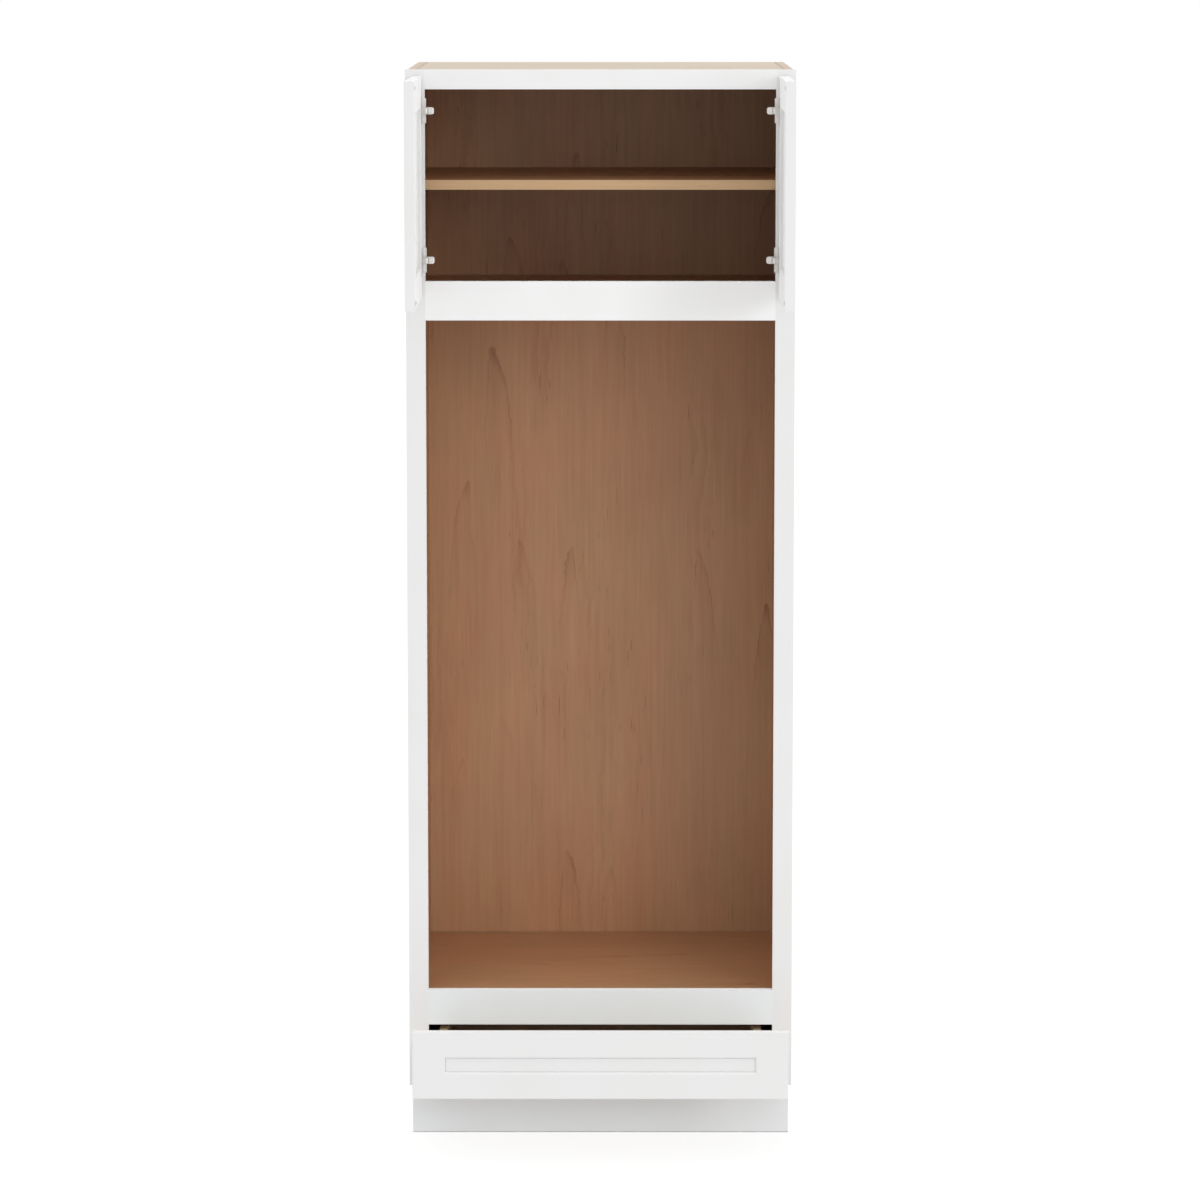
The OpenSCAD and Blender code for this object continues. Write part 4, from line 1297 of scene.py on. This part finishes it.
def timbers() -> list[Finish]:
    """Lists every maple board's finish.

    Returns:
        The finishes. A dark joint line shows where the top meets the sides; where the decks meet
        the back a line of painted shade darkens the corner, and the back, decks and shelf carry
        painted shade towards +X.
    """
    pale, dark = srgb(207, 161, 121), srgb(176, 129, 91)
    back_pale, back_dark = srgb(209, 163, 122), srgb(178, 131, 92)
    shelf_pale, shelf_dark = srgb(190, 143, 104), srgb(160, 113, 77)
    top_pale, top_dark = srgb(212, 195, 170), srgb(186, 161, 130)
    band_pale, band_dark = srgb(202, 168, 127), srgb(186, 150, 109)
    solid_pale, solid_dark = srgb(238, 217, 188), srgb(218, 190, 154)
    ply_pale, ply_dark = srgb(241, 234, 223), srgb(229, 220, 205)
    thick, thin = 3.0 * MM, 1.6 * MM
    side = float(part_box("top_panel")[1].x)
    outside = side + 17.9 * MM
    decks = [float(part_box(node)[1].z) for node in ("oven_deck", "upper_deck", "bottom_panel")]
    # Painted shade: a dark line on the back panel's front just over each deck, where the corner is in shade.
    corners = tuple(Joint(Axis.Z, z, 5.0 * MM, Axis.Y, depth=0.3, front_only=True) for z in decks)
    seam = (Joint(Axis.X, side, 2.4 * MM, Axis.Z, depth=0.9),)
    return [
        # The back, decks and shelf carry painted shade that grows darker towards +X.
        Timber("veneer_back", Cut.UPRIGHT_FACING_FRONT, back_pale, back_dark, seed=2.0,
               shift=(0.115, 0, 0), sheet=thin, joints=corners, painted_shade_right=0.2),
        Timber("veneer_side_left", Cut.UPRIGHT_FACING_SIDE, pale, dark, seed=11.0, sheet=thick,
               joints=seam, painted_beyond=outside),
        Timber("veneer_side_right", Cut.UPRIGHT_FACING_SIDE, pale, dark, seed=17.0, sheet=thick,
               joints=seam, painted_beyond=outside),
        Timber("veneer_deck", Cut.LYING_GRAIN_ACROSS, pale, dark, lines=0.5, seed=23.0,
               sheet=thick, painted_shade_right=0.12),
        Timber("veneer_shelf", Cut.LYING_GRAIN_ACROSS, shelf_pale, shelf_dark, seed=27.0,
               sheet=thick, painted_shade_right=0.12),
        Timber("drawer_ply", Cut.LYING_GRAIN_ACROSS, ply_pale, ply_dark, lines=0.5, seed=29.0, sheet=thin),
        Timber("pale_top", Cut.LYING_GRAIN_ACROSS, top_pale, top_dark, lines=0.6, seed=5.0,
               sheet=thick, joints=seam),
        Timber("maple_rail", Cut.RAIL_FACING_FRONT, solid_pale, solid_dark, seed=31.0),
        Timber("maple_side", Cut.RAIL_FACING_SIDE, solid_pale, solid_dark, seed=37.0),
        Timber("maple_back", Cut.RAIL_FACING_SIDE, solid_pale, solid_dark, seed=41.0),
        Timber("maple_band", Cut.RAIL_FACING_FRONT, band_pale, band_dark, arches=0.0, seed=43.0),
    ]


def paints() -> list[Finish]:
    """Lists every painted member's finish.

    Returns:
        The finishes. The head and middle rails get a lighter white, and the lower rail and toe kick
        a cooler one, as painted light; so do the doors' faces that look inwards, a lighter white.
        The toe kick has a painted shadow line where it meets the floor.
    """
    # Painted light: the doors' faces that look inwards get a lighter white than the rest.
    white, inner_painted_light_white = srgb(243, 243, 243), srgb(251, 251, 251)
    upright, level, deep = (190.0, 190.0, 5.0), (5.0, 190.0, 190.0), (190.0, 5.0, 190.0)
    panel, skirting = (120.0, 120.0, 8.0), (8.0, 120.0, 120.0)
    # Painted shadow: a dark line along the bottom 3 mm of the toe kick, where it meets the floor.
    painted_floor_shadow = (Joint(Axis.Z, 0.0, 3.0 * MM, Axis.Y, depth=0.5),)
    return [
        Paint("paint_upright", white, upright),
        Paint("paint_level", white, level),
        Paint("paint_panel", white, panel),
        # Painted light: the toe kick and the head, middle and lower rails have whites of their own.
        Paint("paint_toe_painted_light", srgb(245, 247, 248), skirting, joints=painted_floor_shadow),
        Paint("paint_head_painted_light", srgb(248, 248, 248), level),
        Paint("paint_middle_painted_light", srgb(252, 252, 252), level),
        Paint("paint_lower_painted_light", srgb(243, 246, 247), level),
        Paint("paint_door_upright", white, upright, inner_painted_light=inner_painted_light_white),
        Paint("paint_door_level", white, deep, inner_painted_light=inner_painted_light_white),
        Paint("paint_door_panel", white, panel, inner_painted_light=inner_painted_light_white),
    ]


def fittings() -> list[Finish]:
    """Lists the finishes of metal, plastic and rubber."""
    return [
        Plating("nickel", srgb(236, 234, 231), srgb(216, 213, 208), roughness=0.42, metallic=0.75),
        Plating("zinc", srgb(196, 200, 204), srgb(170, 172, 168), roughness=0.34),
        Moulding("grey_plastic", srgb(118, 121, 126), 0.5),
        Moulding("clear_rubber", srgb(240, 241, 240), 0.35, transmission=0.15),
    ]


def main() -> None:
    """Builds the scene piece by piece, in order."""
    logging.basicConfig(level=logging.INFO, format="%(name)s: %(message)s")
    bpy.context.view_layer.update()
    effects = Effects()
    look = {made.name: made.material(effects) for made in timbers() + paints() + fittings()}
    Carcass(look).dress()
    Painted(look).dress()
    Hardware(look["nickel"], look["zinc"], look["clear_rubber"]).dress()
    Drawer(look, look["zinc"], look["grey_plastic"]).dress()
    HingeLips(look["nickel"]).build()
    Fasteners(look["zinc"]).build()
    Studio().build()


if __name__ == "__main__":
    main()
